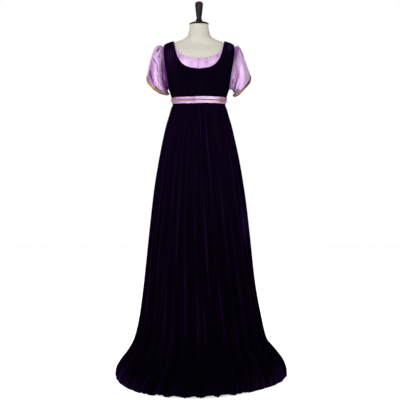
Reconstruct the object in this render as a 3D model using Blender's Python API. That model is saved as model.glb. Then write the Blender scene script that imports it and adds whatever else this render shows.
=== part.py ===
"""A high-waisted velvet dress with a train over a satin under-bodice, worn by a limbless dress form.

Metres, +Z up. The origin is the centre of the stand's underside. The dress faces -Y, its train lies
towards +Y, and its left sleeve is at +X.
"""

import math
from collections import namedtuple

import bmesh
import bpy
import numpy as np
from mathutils import Vector
from mathutils.bvhtree import BVHTree

# Driving heights of the form and the dress
NECK_TOP = 1.551
SHOULDER_TIP = 1.455
UNDERARM = 1.263
WAIST_SEAM = 1.215
FORM_BOTTOM = 0.790

# Cloth walls, and how far each layer's inner side lies off the form
SEAM_GAP = 0.0003
SEAM_INSET = 0.0002
SATIN = 0.0012
VELVET = 0.0020
UNDER_LIFT = 0.0020
VELVET_LIFT = 0.0049
SHOULDER_DROP = 0.0010
SHOULDER_DROP_FROM = 1.425
SHOULDER_DROP_FULL = 1.450

# The sash, its gold trim and the trim's pointed ovals
SASH_BOTTOM = 1.2005
SASH_TOP = 1.2270
SASH_LIFT = 0.0081
SASH_WALL = 0.0012
SASH_UNDER_END = 95.0
SASH_OVER_END = 85.0
SASH_STEP = 5.0
SASH_LAP_GAP = 0.0006
SASH_LAP_RISE_FROM = -233.0
SASH_LAP_RISE_TO = -261.0
SASH_END_STEP = 0.0010
SASH_UNDER_LEVEL = 20.0
SASH_OVER_LEVEL = -180.0
TRIM_HEIGHT = 0.007
TRIM_WALL = 0.0008
TRIM_END_GAP = 0.6
OVAL_HEIGHT = 0.021
OVAL_HALF_ANGLE = 16.5
OVAL_CENTRES = (20.0, -90.0, -215.0)

# Sleeves: turns are degrees round the armhole, 0 at the shoulder and 180 at the underarm. Shares run
# from the armhole to the hem
SLEEVE_COLUMNS = 20
SLEEVE_ROWS = 6
SLEEVE_ROOT_INSET = SATIN + SEAM_GAP + 0.0030
SLEEVE_STAND = 0.008
SLEEVE_STAND_SHARE = 0.07
RIGHT_SLEEVE_SETTLE = 0.016
SETTLE_END = 120.0
SETTLE_FALL = 0.38
SETTLE_AT_HEM = 0.20
LEFT_SLEEVE_TUCK = 0.018
TUCK_FROM = 95.0
TUCK_FULL = 160.0
TUCK_AT_SWELL = 0.5
LEFT_HEM_RISE = 0.0065
RISE_FROM = 58.0
RISE_FULL = 100.0
SLEEVE_LAP = 0.0064
SLEEVE_LAP_END = 72.0
LAP_SINK_FROM = -128.0
LAP_SINK_FULL = -84.0
PETAL_CLIMB = 0.86
PETAL_CLIMB_POWER = 1.25
SLEEVE_GATHERS = 9.0
SLEEVE_GATHER_DEPTH = 0.0026
GATHER_FULL = 0.22
GATHER_FADE_FROM = 0.30
GATHER_FADE_TO = 0.85
GATHER_AT_UNDERARM = 0.35
PIPING_RADIUS = 0.0026
PIPING_GAP = 0.0005
PIPING_END_Y = 0.00075
PIPING_SIDES = 5
PIPING_EDGE_STEP = 0.02

# Fastening of the under-bodice
BUTTON_RADIUS = 0.0028
BUTTON_HEIGHT = 0.0022
BUTTON_X = -0.0062
BUTTON_HEIGHTS = (1.3835, 1.3625)
BUTTON_SEGMENTS = 12

# Stand and neck cap
BASE_RADIUS = 0.150
BASE_EDGE = 0.010
COLLAR_RADIUS = 0.024
COLLAR_TOP = 0.070
SOCKET_FLOOR = 0.020
POLE_RADIUS = 0.0140
POLE_EASE = 0.0006
FLANGE_RADIUS = 0.040
FLANGE_HEIGHT = 0.008
COLLAR_FLARE = 0.012
TURNED_SEGMENTS = 18
TURNED_SHARP_ANGLE = 35
BASE_SEGMENTS = 24

# Turned outlines from the axis out and up, above their own foot
Turned = namedtuple("Turned", "radius height")
CAP_OUTLINE = (
    Turned(0.0, 0.0),
    Turned(0.0425, 0.0),
    Turned(0.0432, 0.0030),
    Turned(0.0400, 0.0070),
    Turned(0.0290, 0.0115),
    Turned(0.0148, 0.0145),
    Turned(0.0, 0.0145),
)
HANDLE_OUTLINE = (
    Turned(0.0, 0.0),
    Turned(0.0120, 0.0),
    Turned(0.0150, 0.0030),
    Turned(0.0150, 0.0060),
    Turned(0.0120, 0.0100),
    Turned(0.0112, 0.0130),
    Turned(0.0180, 0.0760),
    Turned(0.0172, 0.0800),
    Turned(0.0060, 0.0875),
    Turned(0.0, 0.0885),
)
BUTTON_OUTLINE = (
    Turned(0.0, 0.0),
    Turned(0.9 * BUTTON_RADIUS, 0.0),
    Turned(BUTTON_RADIUS, 0.3 * BUTTON_HEIGHT),
    Turned(0.75 * BUTTON_RADIUS, 0.8 * BUTTON_HEIGHT),
    Turned(0.0, BUTTON_HEIGHT),
)

Section = namedtuple("Section", "z half_width back front square")
FORM_SECTIONS = (
    Section(0.790, 0.140, 0.088, 0.084, 2.2),
    Section(0.805, 0.148, 0.096, 0.090, 2.3),
    Section(0.860, 0.155, 0.106, 0.093, 2.3),
    Section(0.930, 0.152, 0.105, 0.093, 2.3),
    Section(1.000, 0.135, 0.090, 0.088, 2.2),
    Section(1.080, 0.112, 0.074, 0.082, 2.2),
    Section(1.140, 0.1065, 0.074, 0.084, 2.2),
    Section(1.190, 0.1085, 0.079, 0.090, 2.2),
    Section(1.215, 0.1120, 0.083, 0.096, 2.2),
    Section(1.240, 0.1190, 0.087, 0.107, 2.3),
    Section(1.265, 0.1270, 0.091, 0.117, 2.5),
    Section(1.290, 0.1330, 0.095, 0.124, 2.6),
    Section(1.325, 0.1405, 0.098, 0.118, 2.8),
    Section(1.360, 0.1470, 0.098, 0.103, 3.0),
    Section(1.400, 0.1520, 0.092, 0.084, 3.1),
    Section(1.430, 0.1537, 0.080, 0.067, 3.0),
    Section(1.445, 0.1530, 0.068, 0.056, 2.7),
    Section(1.455, 0.1510, 0.060, 0.050, 2.5),
    Section(1.4615, 0.1430, 0.056, 0.047, 2.3),
    Section(1.4725, 0.1100, 0.053, 0.046, 2.1),
    Section(1.485, 0.0745, 0.051, 0.047, 2.0),
    Section(1.4935, 0.0585, 0.049, 0.048, 2.0),
    Section(1.503, 0.0510, 0.047, 0.047, 2.0),
    Section(1.528, 0.0440, 0.044, 0.044, 2.0),
    Section(NECK_TOP, 0.0412, 0.0412, 0.0412, 2.0),
)
FORM_SEGMENTS = 36
FORM_EXTRA_RINGS = (1.467, 1.479, 1.514)

# Half outlines of the necklines, from the centre to the shoulder seam
Edge = namedtuple("Edge", "x z")
VELVET_BACK_NECK = (
    Edge(0.0, 1.3450),
    Edge(0.040, 1.3505),
    Edge(0.066, 1.3625),
    Edge(0.082, 1.3790),
    Edge(0.0935, 1.4000),
    Edge(0.1020, 1.4260),
    Edge(0.1085, 1.4550),
    Edge(0.1120, 1.4722),
)
VELVET_FRONT_NECK = (
    Edge(0.0, 1.3080),
    Edge(0.042, 1.3140),
    Edge(0.070, 1.3290),
    Edge(0.087, 1.3520),
    Edge(0.097, 1.3850),
    Edge(0.1040, 1.4200),
    Edge(0.1090, 1.4530),
    Edge(0.1120, 1.4722),
)
UNDER_BACK_NECK = (
    Edge(0.0, 1.3905),
    Edge(0.024, 1.3915),
    Edge(0.048, 1.3960),
    Edge(0.072, 1.4055),
    Edge(0.090, 1.4200),
    Edge(0.103, 1.4380),
    Edge(0.1125, 1.4590),
    Edge(0.1170, 1.4706),
)
UNDER_FRONT_NECK = (
    Edge(0.0, 1.3420),
    Edge(0.034, 1.3450),
    Edge(0.062, 1.3560),
    Edge(0.084, 1.3770),
    Edge(0.099, 1.4050),
    Edge(0.108, 1.4330),
    Edge(0.1140, 1.4570),
    Edge(0.1170, 1.4706),
)

# Armholes: an oval in side view, its top at the shoulder tip and its foot at the underarm
ARMHOLE_BACK = 0.047
ARMHOLE_FRONT = 0.046
VELVET_ARMHOLE_EASE = 0.0025
BODICE_COLUMNS = 8
EDGE_SAMPLES = 60
VELVET_BACK_ROWS = 3
UNDER_BACK_ROWS = 5
FRONT_ROWS = 5
BODICE_HIGH_SHARES = (0.0, 0.055, 0.12, 0.22, 0.35, 0.48, 0.60, 0.71, 0.80, 0.875, 0.945, 1.0)

# The skirt's valleys at each station, from the seam to the hem. The lower skirt leans a little
# to its right all round, while the end of the train is shifted to its left
Station = namedtuple("Station", "side_z back_z front_z side back front fold hem_share lean shift square")
SKIRT_STATIONS = (
    Station(1.160, 1.160, 1.160, 0.1235, 0.096, 0.106, 0.0035, 0.00, 0.000, 0.000, 2.15),
    Station(1.090, 1.090, 1.090, 0.1425, 0.120, 0.125, 0.0070, 0.05, 0.000, 0.000, 2.15),
    Station(0.970, 0.970, 0.970, 0.1660, 0.148, 0.151, 0.0105, 0.18, 0.000, 0.000, 2.15),
    Station(0.800, 0.800, 0.800, 0.1895, 0.179, 0.180, 0.0140, 0.36, 0.000, 0.000, 2.15),
    Station(0.600, 0.600, 0.600, 0.2115, 0.212, 0.204, 0.0170, 0.54, 0.000, 0.000, 2.15),
    Station(0.410, 0.410, 0.410, 0.2300, 0.252, 0.226, 0.0195, 0.70, 0.002, 0.000, 2.15),
    Station(0.260, 0.250, 0.260, 0.2500, 0.294, 0.246, 0.0215, 0.82, 0.006, 0.000, 2.15),
    Station(0.160, 0.140, 0.160, 0.2720, 0.342, 0.263, 0.0225, 0.90, 0.006, 0.005, 2.12),
    Station(0.100, 0.068, 0.090, 0.3120, 0.387, 0.280, 0.0220, 0.95, 0.013, 0.016, 2.06),
    Station(0.062, 0.026, 0.046, 0.3430, 0.433, 0.295, 0.0200, 0.98, 0.012, 0.026, 2.00),
    Station(0.030, 0.006, 0.018, 0.3620, 0.482, 0.309, 0.0140, 1.00, 0.009, 0.036, 1.98),
    Station(0.000, 0.000, 0.000, 0.3690, 0.514, 0.321, 0.0070, 1.00, 0.009, 0.045, 1.96),
)
SHIFT_BEHIND = 1.9
SHIFT_EASED = 1.3
FOLD_SHARPNESS = 1.1
SKIRT_SEAM_Z = WAIST_SEAM - 1.5 * SEAM_GAP
SKIRT_FREE_Z = SASH_BOTTOM - 0.002
SKIRT_FREE_FOLD = 0.0006

# Ridges of the skirt's folds by angle round the form, 90 being the centre back
Fold = namedtuple("Fold", "waist hem depth")
BACK_FOLDS = (
    Fold(5, 6, 0.80),
    Fold(16, 17, 0.95),
    Fold(27, 28, 0.70),
    Fold(37, 37, 1.05),
    Fold(47, 46, 1.15),
    Fold(57, 57, 0.75),
    Fold(67, 68, 1.20),
    Fold(76, 79, 0.95),
    Fold(84, 89, 0.70),
    Fold(91, 100, 1.10),
    Fold(100, 111, 1.20),
    Fold(110, 123, 1.10),
    Fold(121, 135, 0.80),
    Fold(133, 148, 1.15),
    Fold(148, 159, 0.90),
    Fold(165, 171, 1.00),
)
FRONT_FOLDS = (
    Fold(181, 184, 0.80),
    Fold(197, 199, 0.95),
    Fold(214, 215, 0.80),
    Fold(231, 231, 1.05),
    Fold(247, 247, 0.85),
    Fold(262, 262, 0.70),
    Fold(278, 279, 0.75),
    Fold(294, 294, 1.00),
    Fold(310, 310, 0.80),
    Fold(326, 326, 0.95),
    Fold(345, 346, 0.85),
)
BACK_FOLD_COLUMNS = 4
FRONT_FOLD_COLUMNS = 3

# The sleeve on the +X side: four curves from the armhole to the hem, mirrored to the front
SleeveCurve = namedtuple("SleeveCurve", "turn swell_x swell_y swell_z low_x low_y low_z hem_x hem_y hem_z")
SLEEVE_CURVES = (
    SleeveCurve(0, 0.198, 0.000, 1.473, 0.213, 0.000, 1.418, 0.2315, 0.000, 1.322),
    SleeveCurve(30, 0.194, 0.040, 1.462, 0.212, 0.050, 1.400, 0.2265, 0.039, 1.298),
    SleeveCurve(60, 0.184, 0.070, 1.430, 0.205, 0.085, 1.362, 0.2110, 0.066, 1.276),
    SleeveCurve(90, 0.172, 0.080, 1.375, 0.193, 0.097, 1.308, 0.1915, 0.076, 1.258),
    SleeveCurve(120, 0.158, 0.066, 1.318, 0.178, 0.082, 1.268, 0.1715, 0.066, 1.245),
    SleeveCurve(150, 0.150, 0.036, 1.278, 0.166, 0.047, 1.251, 0.1580, 0.038, 1.240),
    SleeveCurve(180, 0.147, 0.000, 1.268, 0.160, 0.000, 1.250, 0.1530, 0.000, 1.241),
)


def clear_scene():
    for obj in list(bpy.data.objects):
        bpy.data.objects.remove(obj)


def finish(name, colour, roughness, metallic=0.0):
    """A plain Principled material."""
    material = bpy.data.materials.new(name)
    material.use_nodes = True
    shader = material.node_tree.nodes["Principled BSDF"]
    shader.inputs["Base Color"].default_value = (*colour, 1.0)
    shader.inputs["Roughness"].default_value = roughness
    shader.inputs["Metallic"].default_value = metallic
    return material


def smooth_curve(at, places, values):
    """Values at the places, joined by a monotone cubic, read at any other place."""
    places = np.asarray(places, float)
    values = np.asarray(values, float)
    steps = np.diff(places)
    slopes = np.diff(values) / steps
    tangents = np.empty_like(values)
    tangents[0] = slopes[0]
    tangents[-1] = slopes[-1]
    same_way = slopes[:-1] * slopes[1:] > 0
    safe = np.where(same_way, slopes[:-1] + slopes[1:], 1.0)
    tangents[1:-1] = np.where(same_way, 2 * slopes[:-1] * slopes[1:] / safe, 0.0)
    at = np.clip(np.asarray(at, float), places[0], places[-1])
    low = np.clip(np.searchsorted(places, at, side="right") - 1, 0, len(steps) - 1)
    step = steps[low]
    t = (at - places[low]) / step
    start = (1 + 2 * t) * (1 - t) ** 2 * values[low] + t * (1 - t) ** 2 * step * tangents[low]
    end = t**2 * (3 - 2 * t) * values[low + 1] + t**2 * (t - 1) * step * tangents[low + 1]
    return start + end


def column(rows, field):
    return [getattr(row, field) for row in rows]


def unit(vectors):
    return vectors / np.maximum(np.linalg.norm(vectors, axis=-1, keepdims=True), 1e-12)


def ease(t):
    t = np.clip(t, 0.0, 1.0)
    return t * t * (3 - 2 * t)


def rounded(value, power):
    return np.sign(value) * np.abs(value) ** power


# The dress form
def form_size(z):
    """Half width, back and front depth and squareness of the form's section at a height."""
    heights = column(FORM_SECTIONS, "z")
    fields = ("half_width", "back", "front", "square")
    return [smooth_curve(z, heights, column(FORM_SECTIONS, field)) for field in fields]


def form_point(angle, z):
    """A point on the form: angle in radians from +X towards the back."""
    half_width, back, front, square = form_size(z)
    depth = np.where(np.sin(angle) > 0, back, front)
    x = half_width * rounded(np.cos(angle), 2 / square)
    y = depth * rounded(np.sin(angle), 2 / square)
    return np.stack([x, y, z + 0 * angle], axis=-1)


def form_normal(angle, z):
    small = 1e-4
    around = form_point(angle + small, z) - form_point(angle - small, z)
    up = form_point(angle, z + small) - form_point(angle, z - small)
    return unit(np.cross(around, up))


def over_form(angle, z, lift):
    """A point that lies off the form by lift, a little less on the shoulder that carries it."""
    angle, z = np.broadcast_arrays(np.asarray(angle, float), np.asarray(z, float))
    drop = SHOULDER_DROP * ease((z - SHOULDER_DROP_FROM) / (SHOULDER_DROP_FULL - SHOULDER_DROP_FROM))
    return form_point(angle, z) + form_normal(angle, z) * np.expand_dims(lift - drop, -1)


def angle_at_x(x, z):
    half_width, _, _, square = form_size(z)
    return np.arccos(np.clip(np.asarray(x) / half_width, 0, 1) ** (square / 2))


def angle_at_y(y, z):
    _, back, _, square = form_size(z)
    return np.arcsin(np.clip(np.asarray(y) / back, 0, 1) ** (square / 2))


# Meshes
def add_object(name, points, faces, material, smooth_angle=50):
    mesh = bpy.data.meshes.new(name)
    mesh.from_pydata([tuple(p) for p in points], [], faces)
    work = bmesh.new()
    work.from_mesh(mesh)
    bmesh.ops.recalc_face_normals(work, faces=work.faces)
    work.to_mesh(mesh)
    work.free()
    mesh.materials.append(material)
    mesh.shade_smooth()
    mesh.set_sharp_from_angle(angle=math.radians(smooth_angle))
    obj = bpy.data.objects.new(name, mesh)
    bpy.context.scene.collection.objects.link(obj)
    return obj


def add_wall(name, patches, material):
    """A closed wall from (inner, outer) grids of points. Patches join where they share points."""
    found = {}
    points = []
    faces = []
    sides = {}

    def number(point):
        key = tuple(np.round(point, 7))
        if key not in found:
            found[key] = len(points)
            points.append(point)
        return found[key]

    for inner, outer in patches:
        rows, columns = outer.shape[:2]
        inner_number = [[number(inner[i, j]) for j in range(columns)] for i in range(rows)]
        outer_number = [[number(outer[i, j]) for j in range(columns)] for i in range(rows)]
        for i in range(rows - 1):
            for j in range(columns - 1):
                corners = [(i, j), (i, j + 1), (i + 1, j + 1), (i + 1, j)]
                across = np.linalg.norm(outer[i, j] - outer[i + 1, j + 1])
                other = np.linalg.norm(outer[i, j + 1] - outer[i + 1, j])
                turn = corners if across <= other else corners[1:] + corners[:1]
                for corner_set in (turn[:3], [turn[0], turn[2], turn[3]]):
                    faces.append([outer_number[r][c] for r, c in corner_set])
                    faces.append([inner_number[r][c] for r, c in reversed(corner_set)])
                for first, second in zip(corners, corners[1:] + corners[:1]):
                    a, b = outer_number[first[0]][first[1]], outer_number[second[0]][second[1]]
                    sides[a, b] = (inner_number[first[0]][first[1]], inner_number[second[0]][second[1]])
    for (a, b), (inner_a, inner_b) in sides.items():
        if (b, a) not in sides:
            faces.append([b, a, inner_a])
            faces.append([b, inner_a, inner_b])
    return add_object(name, points, faces, material)


def add_turned(name, profile, material, segments=TURNED_SEGMENTS):
    """A solid turned about Z from (radius, height) points that start and end on the axis."""
    mesh = bpy.data.meshes.new(name)
    work = bmesh.new()
    ring = [work.verts.new((radius, 0.0, z)) for radius, z in profile]
    edges = [work.edges.new(pair) for pair in zip(ring, ring[1:])]
    bmesh.ops.spin(
        work,
        geom=ring + edges,
        cent=(0, 0, 0),
        axis=(0, 0, 1),
        angle=math.tau,
        steps=segments,
        use_merge=True,
    )
    bmesh.ops.remove_doubles(work, verts=work.verts, dist=1e-5)
    bmesh.ops.recalc_face_normals(work, faces=work.faces)
    work.to_mesh(mesh)
    work.free()
    mesh.materials.append(material)
    mesh.shade_smooth()
    mesh.set_sharp_from_angle(angle=math.radians(TURNED_SHARP_ANGLE))
    obj = bpy.data.objects.new(name, mesh)
    bpy.context.scene.collection.objects.link(obj)
    return obj


def add_tube(name, centres, radius, material, sides=PIPING_SIDES):
    """A closed tube along a list of points."""
    centres = np.asarray(centres)
    along = unit(np.gradient(centres, axis=0))
    up = np.array([0.0, 0.0, 1.0])
    across = unit(np.cross(along, up))
    over = np.cross(across, along)
    points = []
    for k in range(len(centres)):
        for s in range(sides):
            turn = math.tau * s / sides
            points.append(centres[k] + radius * (math.cos(turn) * across[k] + math.sin(turn) * over[k]))
    faces = []
    for k in range(len(centres) - 1):
        for s in range(sides):
            a, b = k * sides + s, k * sides + (s + 1) % sides
            faces.append([a, b, b + sides, a + sides])
    faces.append(list(range(sides)))
    faces.append([(len(centres) - 1) * sides + s for s in range(sides)])
    return add_object(name, points, faces, material)


def mirrored(grid):
    """The grid on the other side of the dress, with its columns turned round to face out."""
    return grid[:, ::-1] * np.array([-1.0, 1.0, 1.0])


def nudged(inner, outer):
    """A panel with its side columns drawn in from the seam."""
    out = []
    for grid in (inner.copy(), outer.copy()):
        first = unit(grid[:, 1] - grid[:, 0]) * SEAM_INSET
        last = unit(grid[:, -2] - grid[:, -1]) * SEAM_INSET
        grid[:, 0] += first
        grid[:, -1] += last
        out.append(grid)
    return tuple(out)


def along(angle, z, shares):
    """Angles and heights at even shares of the length of a dense line over the form."""
    points = over_form(angle, z, UNDER_LIFT)
    steps = np.linalg.norm(np.diff(points, axis=0), axis=1)
    length = np.concatenate([[0.0], np.cumsum(steps)])
    at = np.asarray(shares) * length[-1]
    return np.interp(at, length, angle), np.interp(at, length, z)


def armhole_edge(shares, ease_out, back):
    """Angle and height on the armhole, from the underarm to the shoulder seam."""
    turn = np.linspace(np.pi, 0.0, EDGE_SAMPLES)
    middle = (SHOULDER_TIP + UNDERARM) / 2
    height = (SHOULDER_TIP - UNDERARM) / 2 + ease_out
    depth = (ARMHOLE_BACK if back else ARMHOLE_FRONT) + ease_out
    z = np.minimum(middle + height * np.cos(turn), SHOULDER_TIP + ease_out / 2)
    side = depth * np.sin(turn)
    if not back:
        _, back_depth, front_depth, _ = form_size(z)
        side = side * back_depth / front_depth
    return along(angle_at_y(side, z), z, shares)


def neck_edge(shares, neck):
    """Angle and height on the neckline, from the centre to the shoulder seam."""
    xs = np.array(column(neck, "x"))
    zs = np.array(column(neck, "z"))
    length = np.concatenate([[0.0], np.cumsum(np.hypot(np.diff(xs), np.diff(zs)))])
    at = np.linspace(0.0, length[-1], EDGE_SAMPLES)
    x = smooth_curve(at, length, xs)
    z = smooth_curve(at, length, zs)
    return along(angle_at_x(x, z), z, shares)


def half_panel(neck, lift, wall, armhole_ease, low_rows, back):
    """Inner and outer grids of a bodice half, rows from the waist up, columns from side to centre."""
    low = np.arange(low_rows) / low_rows
    hole_angle, hole_z = armhole_edge(BODICE_HIGH_SHARES, armhole_ease, back)
    neck_angle, neck_z = neck_edge(BODICE_HIGH_SHARES, neck)
    side_angle = np.concatenate([0 * low, hole_angle])
    side_z = np.concatenate([WAIST_SEAM + low * (hole_z[0] - WAIST_SEAM), hole_z])
    centre_angle = np.concatenate([0 * low + np.pi / 2, neck_angle])
    centre_z = np.concatenate([WAIST_SEAM + low * (neck_z[0] - WAIST_SEAM), neck_z])
    dense = np.linspace(0, 1, EDGE_SAMPLES)
    shares = np.linspace(0, 1, BODICE_COLUMNS + 1)
    facing = 1 if back else -1
    grids = [[], []]
    for k in range(len(side_z)):
        line_angle = facing * (side_angle[k] + dense * (centre_angle[k] - side_angle[k]))
        line_z = side_z[k] + dense * (centre_z[k] - side_z[k])
        angle, z = along(line_angle, line_z, shares)
        grids[0].append(over_form(angle, z, lift))
        grids[1].append(over_form(angle, z, lift + wall))
    grids = [np.array(grid) for grid in grids]
    for grid in grids:
        grid[0, :, 2] = WAIST_SEAM
        grid[-1, :, 1] = facing * SEAM_GAP / 2
        grid[: low_rows + 1, 0, 1] = facing * SEAM_GAP / 2
        grid[: low_rows + 1, -1, 0] = 0.0
    return grids


def add_velvet_bodice(velvet):
    panels = (
        ("bodice_back", VELVET_BACK_NECK, VELVET_BACK_ROWS, True),
        ("bodice_front", VELVET_FRONT_NECK, FRONT_ROWS, False),
    )
    for name, neck, low_rows, back in panels:
        inner, outer = half_panel(neck, VELVET_LIFT, VELVET, VELVET_ARMHOLE_EASE, low_rows, back)
        add_wall(name, [(inner, outer), (mirrored(inner), mirrored(outer))], velvet)


def add_under_bodice(satin):
    """The satin under-bodice, parted at the centre back. Returns its right back panel."""
    inner, outer = half_panel(UNDER_FRONT_NECK, UNDER_LIFT, SATIN, 0.0, FRONT_ROWS, False)
    add_wall("under_bodice_front", [(inner, outer), (mirrored(inner), mirrored(outer))], satin)
    inner, outer = half_panel(UNDER_BACK_NECK, UNDER_LIFT, SATIN, 0.0, UNDER_BACK_ROWS, True)
    for grid in (inner, outer):
        grid[: UNDER_BACK_ROWS + 1, -1, 0] = SEAM_GAP / 2
    add_wall("under_bodice_back_left", [(inner, outer)], satin)
    return add_wall("under_bodice_back_right", [(mirrored(inner), mirrored(outer))], satin)


def add_buttons(satin, panel):
    """Covered buttons on the panel, beside the centre-back opening."""
    tree = BVHTree.FromObject(panel, bpy.context.evaluated_depsgraph_get())
    for number, z in enumerate(BUTTON_HEIGHTS, 1):
        seat, outward, _, _ = tree.ray_cast(Vector((BUTTON_X, 1.0, z)), Vector((0.0, -1.0, 0.0)))
        button = add_turned(f"under_button_{number}", BUTTON_OUTLINE, satin, BUTTON_SEGMENTS)
        button.rotation_euler = outward.to_track_quat("Z", "Y").to_euler()
        button.location = seat + outward * SEAM_GAP


# The sleeves
def sleeve_curve(turn, settle, tuck):
    """The armhole point, and four points from the seam's stand to the hem, at a turn in radians.

    Settle lets the outer side hang lower and closer, and tuck draws the underarm in to the body.
    """
    degrees = np.degrees(np.abs(turn))
    side = np.where(turn < 0, -1.0, 1.0)
    rows = SLEEVE_CURVES
    turns = column(rows, "turn")

    def at(field):
        return smooth_curve(degrees, turns, column(rows, field))

    depth = np.where(turn < 0, ARMHOLE_FRONT, ARMHOLE_BACK) - SLEEVE_ROOT_INSET
    half_height = (SHOULDER_TIP - UNDERARM) / 2 - SLEEVE_ROOT_INSET
    z = (SHOULDER_TIP + UNDERARM) / 2 + half_height * np.cos(turn)
    _, back_depth, front_depth, _ = form_size(z)
    y = depth * np.sin(np.abs(turn))
    scale = np.where(turn < 0, back_depth / front_depth, 1.0)
    root_angle = angle_at_y(y * scale, z) * side
    root = over_form(root_angle, z, UNDER_LIFT)
    stand = root + form_normal(root_angle, z) * SLEEVE_STAND
    closer = settle * ease(1 - degrees / SETTLE_END)
    lower = closer * SETTLE_FALL
    drawn = tuck * ease((degrees - TUCK_FROM) / (TUCK_FULL - TUCK_FROM))
    rise = LEFT_HEM_RISE * ease((degrees - RISE_FROM) / (RISE_FULL - RISE_FROM)) * (tuck > 0)
    swell_x = at("swell_x") - closer - drawn * TUCK_AT_SWELL
    swell = np.stack([swell_x, at("swell_y") * side, at("swell_z") - lower], -1)
    low_x = at("low_x") - closer - drawn
    low = np.stack([low_x, at("low_y") * side, at("low_z") - lower + rise / 2], -1)
    hem_x = at("hem_x") - closer * SETTLE_AT_HEM - drawn
    hem = np.stack([hem_x, at("hem_y") * side, at("hem_z") + rise], -1)
    return root, stand, swell, low, hem


def sleeve_point(turn, share, hang):
    """A point on the sleeve, share running from the armhole to the full hem."""
    root, stand, swell, low, hem = sleeve_curve(turn, *hang)
    share = np.expand_dims(share, -1)
    t = np.maximum((share - SLEEVE_STAND_SHARE) / (1 - SLEEVE_STAND_SHARE), 0.0)
    curve = (1 - t) ** 3 * stand + 3 * (1 - t) ** 2 * t * swell + 3 * (1 - t) * t**2 * low + t**3 * hem
    return np.where(share < SLEEVE_STAND_SHARE, root + (stand - root) * share / SLEEVE_STAND_SHARE, curve)


def sleeve_normal(turn, share, hang):
    small = 1e-3
    around = sleeve_point(turn + small, share, hang) - sleeve_point(turn - small, share, hang)
    down = sleeve_point(turn, share + small, hang) - sleeve_point(turn, share - small, hang)
    return unit(np.cross(down, around))


def petal_share(turn):
    """How far down the sleeve a petal reaches: its edge climbs to the armhole past the outer side."""
    climb = np.clip(-np.degrees(turn) / SLEEVE_LAP_END, 0.0, 1.0)
    return 1.0 - PETAL_CLIMB * climb**PETAL_CLIMB_POWER


def gather_swell(turn, share):
    """Height of the soft gathers round the sleeve's head."""
    wave = 0.5 + 0.5 * np.cos(SLEEVE_GATHERS * turn)
    fall = ease((share - GATHER_FADE_FROM) / (GATHER_FADE_TO - GATHER_FADE_FROM))
    head = GATHER_AT_UNDERARM + (1 - GATHER_AT_UNDERARM) * np.cos(turn / 2) ** 2
    return SLEEVE_GATHER_DEPTH * wave * ease(share / GATHER_FULL) * (1 - fall) * head


def petal_layer(turn, share, under, lift, hang):
    """A petal's point: the under petal sinks below the other where they lap."""
    sink = 0.0
    if under:
        sink = SLEEVE_LAP * ease((np.degrees(turn) - LAP_SINK_FROM) / (LAP_SINK_FULL - LAP_SINK_FROM))
    height = gather_swell(np.abs(turn), share) + lift - sink
    normal = sleeve_normal(turn, share, hang)
    return sleeve_point(turn, share, hang) + normal * np.expand_dims(height, -1)


def petal_grid(under, lift, hang):
    """Columns run from the underarm seam round the outer side. The under petal is at the front."""
    turns = np.radians(np.linspace(180.0, -SLEEVE_LAP_END, SLEEVE_COLUMNS))
    rows = np.linspace(0, 1, SLEEVE_ROWS + 1)
    turn = np.broadcast_to(turns, (len(rows) + 1, len(turns)))
    reach = petal_share(turns) - SLEEVE_STAND_SHARE
    share = np.concatenate([0 * turns[None], SLEEVE_STAND_SHARE + rows[:, None] * reach])
    grid = petal_layer(-turn if under else turn, share, under, lift, hang)
    grid[:, 0, 1] = -SEAM_GAP / 2 if under else SEAM_GAP / 2
    return grid


def piping_line(under, hang):
    """Centre line of the gold piping, just past a petal's edge."""
    turns = np.radians(np.linspace(180.0, -SLEEVE_LAP_END, SLEEVE_COLUMNS))
    signed = -turns if under else turns
    share = petal_share(turns)
    edge = petal_layer(signed, share, under, SATIN / 2, hang)
    before = petal_layer(signed, share - PIPING_EDGE_STEP, under, SATIN / 2, hang)
    tangent = unit(np.gradient(edge, axis=0))
    away = edge - before
    away = away - tangent * np.sum(away * tangent, axis=-1, keepdims=True)
    line = edge + unit(away) * (PIPING_RADIUS + PIPING_GAP)
    line[0, 1] = (-1 if under else 1) * PIPING_END_Y
    return line


def add_sleeves(satin, gold):
    left_hang = (0.0, LEFT_SLEEVE_TUCK)
    right_hang = (RIGHT_SLEEVE_SETTLE, 0.0)
    for side, flip, hang in (("left", False, left_hang), ("right", True, right_hang)):
        for petal, under in (("back", False), ("front", True)):
            inner = petal_grid(under, 0.0, hang)
            outer = petal_grid(under, SATIN, hang)
            line = piping_line(under, hang)
            if flip:
                inner, outer = mirrored(inner), mirrored(outer)
                line = line * np.array([-1.0, 1.0, 1.0])
            add_wall(f"sleeve_{side}_{petal}", [(inner, outer)], satin)
            add_tube(f"piping_{side}_{petal}", line, PIPING_RADIUS, gold)


# The skirt
def fold_angles():
    """Phase, angle at the waist, angle at the hem and depth of each column round the skirt."""
    folds = BACK_FOLDS + FRONT_FOLDS
    first, last = folds[0], folds[-1]
    wrapped = [Fold(last.waist - 360, last.hem - 360, last.depth), *folds]
    wrapped.append(Fold(first.waist + 360, first.hem + 360, first.depth))
    ridges = np.arange(-1, len(folds) + 1)
    back_count = len(BACK_FOLDS)
    back = np.arange(-0.5, back_count - 0.5, 1 / BACK_FOLD_COLUMNS)
    front = np.arange(back_count - 0.5, len(folds) - 0.5, 1 / FRONT_FOLD_COLUMNS)
    phase = np.concatenate([back, front])
    values = [np.interp(phase, ridges, column(wrapped, field)) for field in ("waist", "hem", "depth")]
    return phase, np.radians(values[0]), np.radians(values[1]), values[2]


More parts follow.
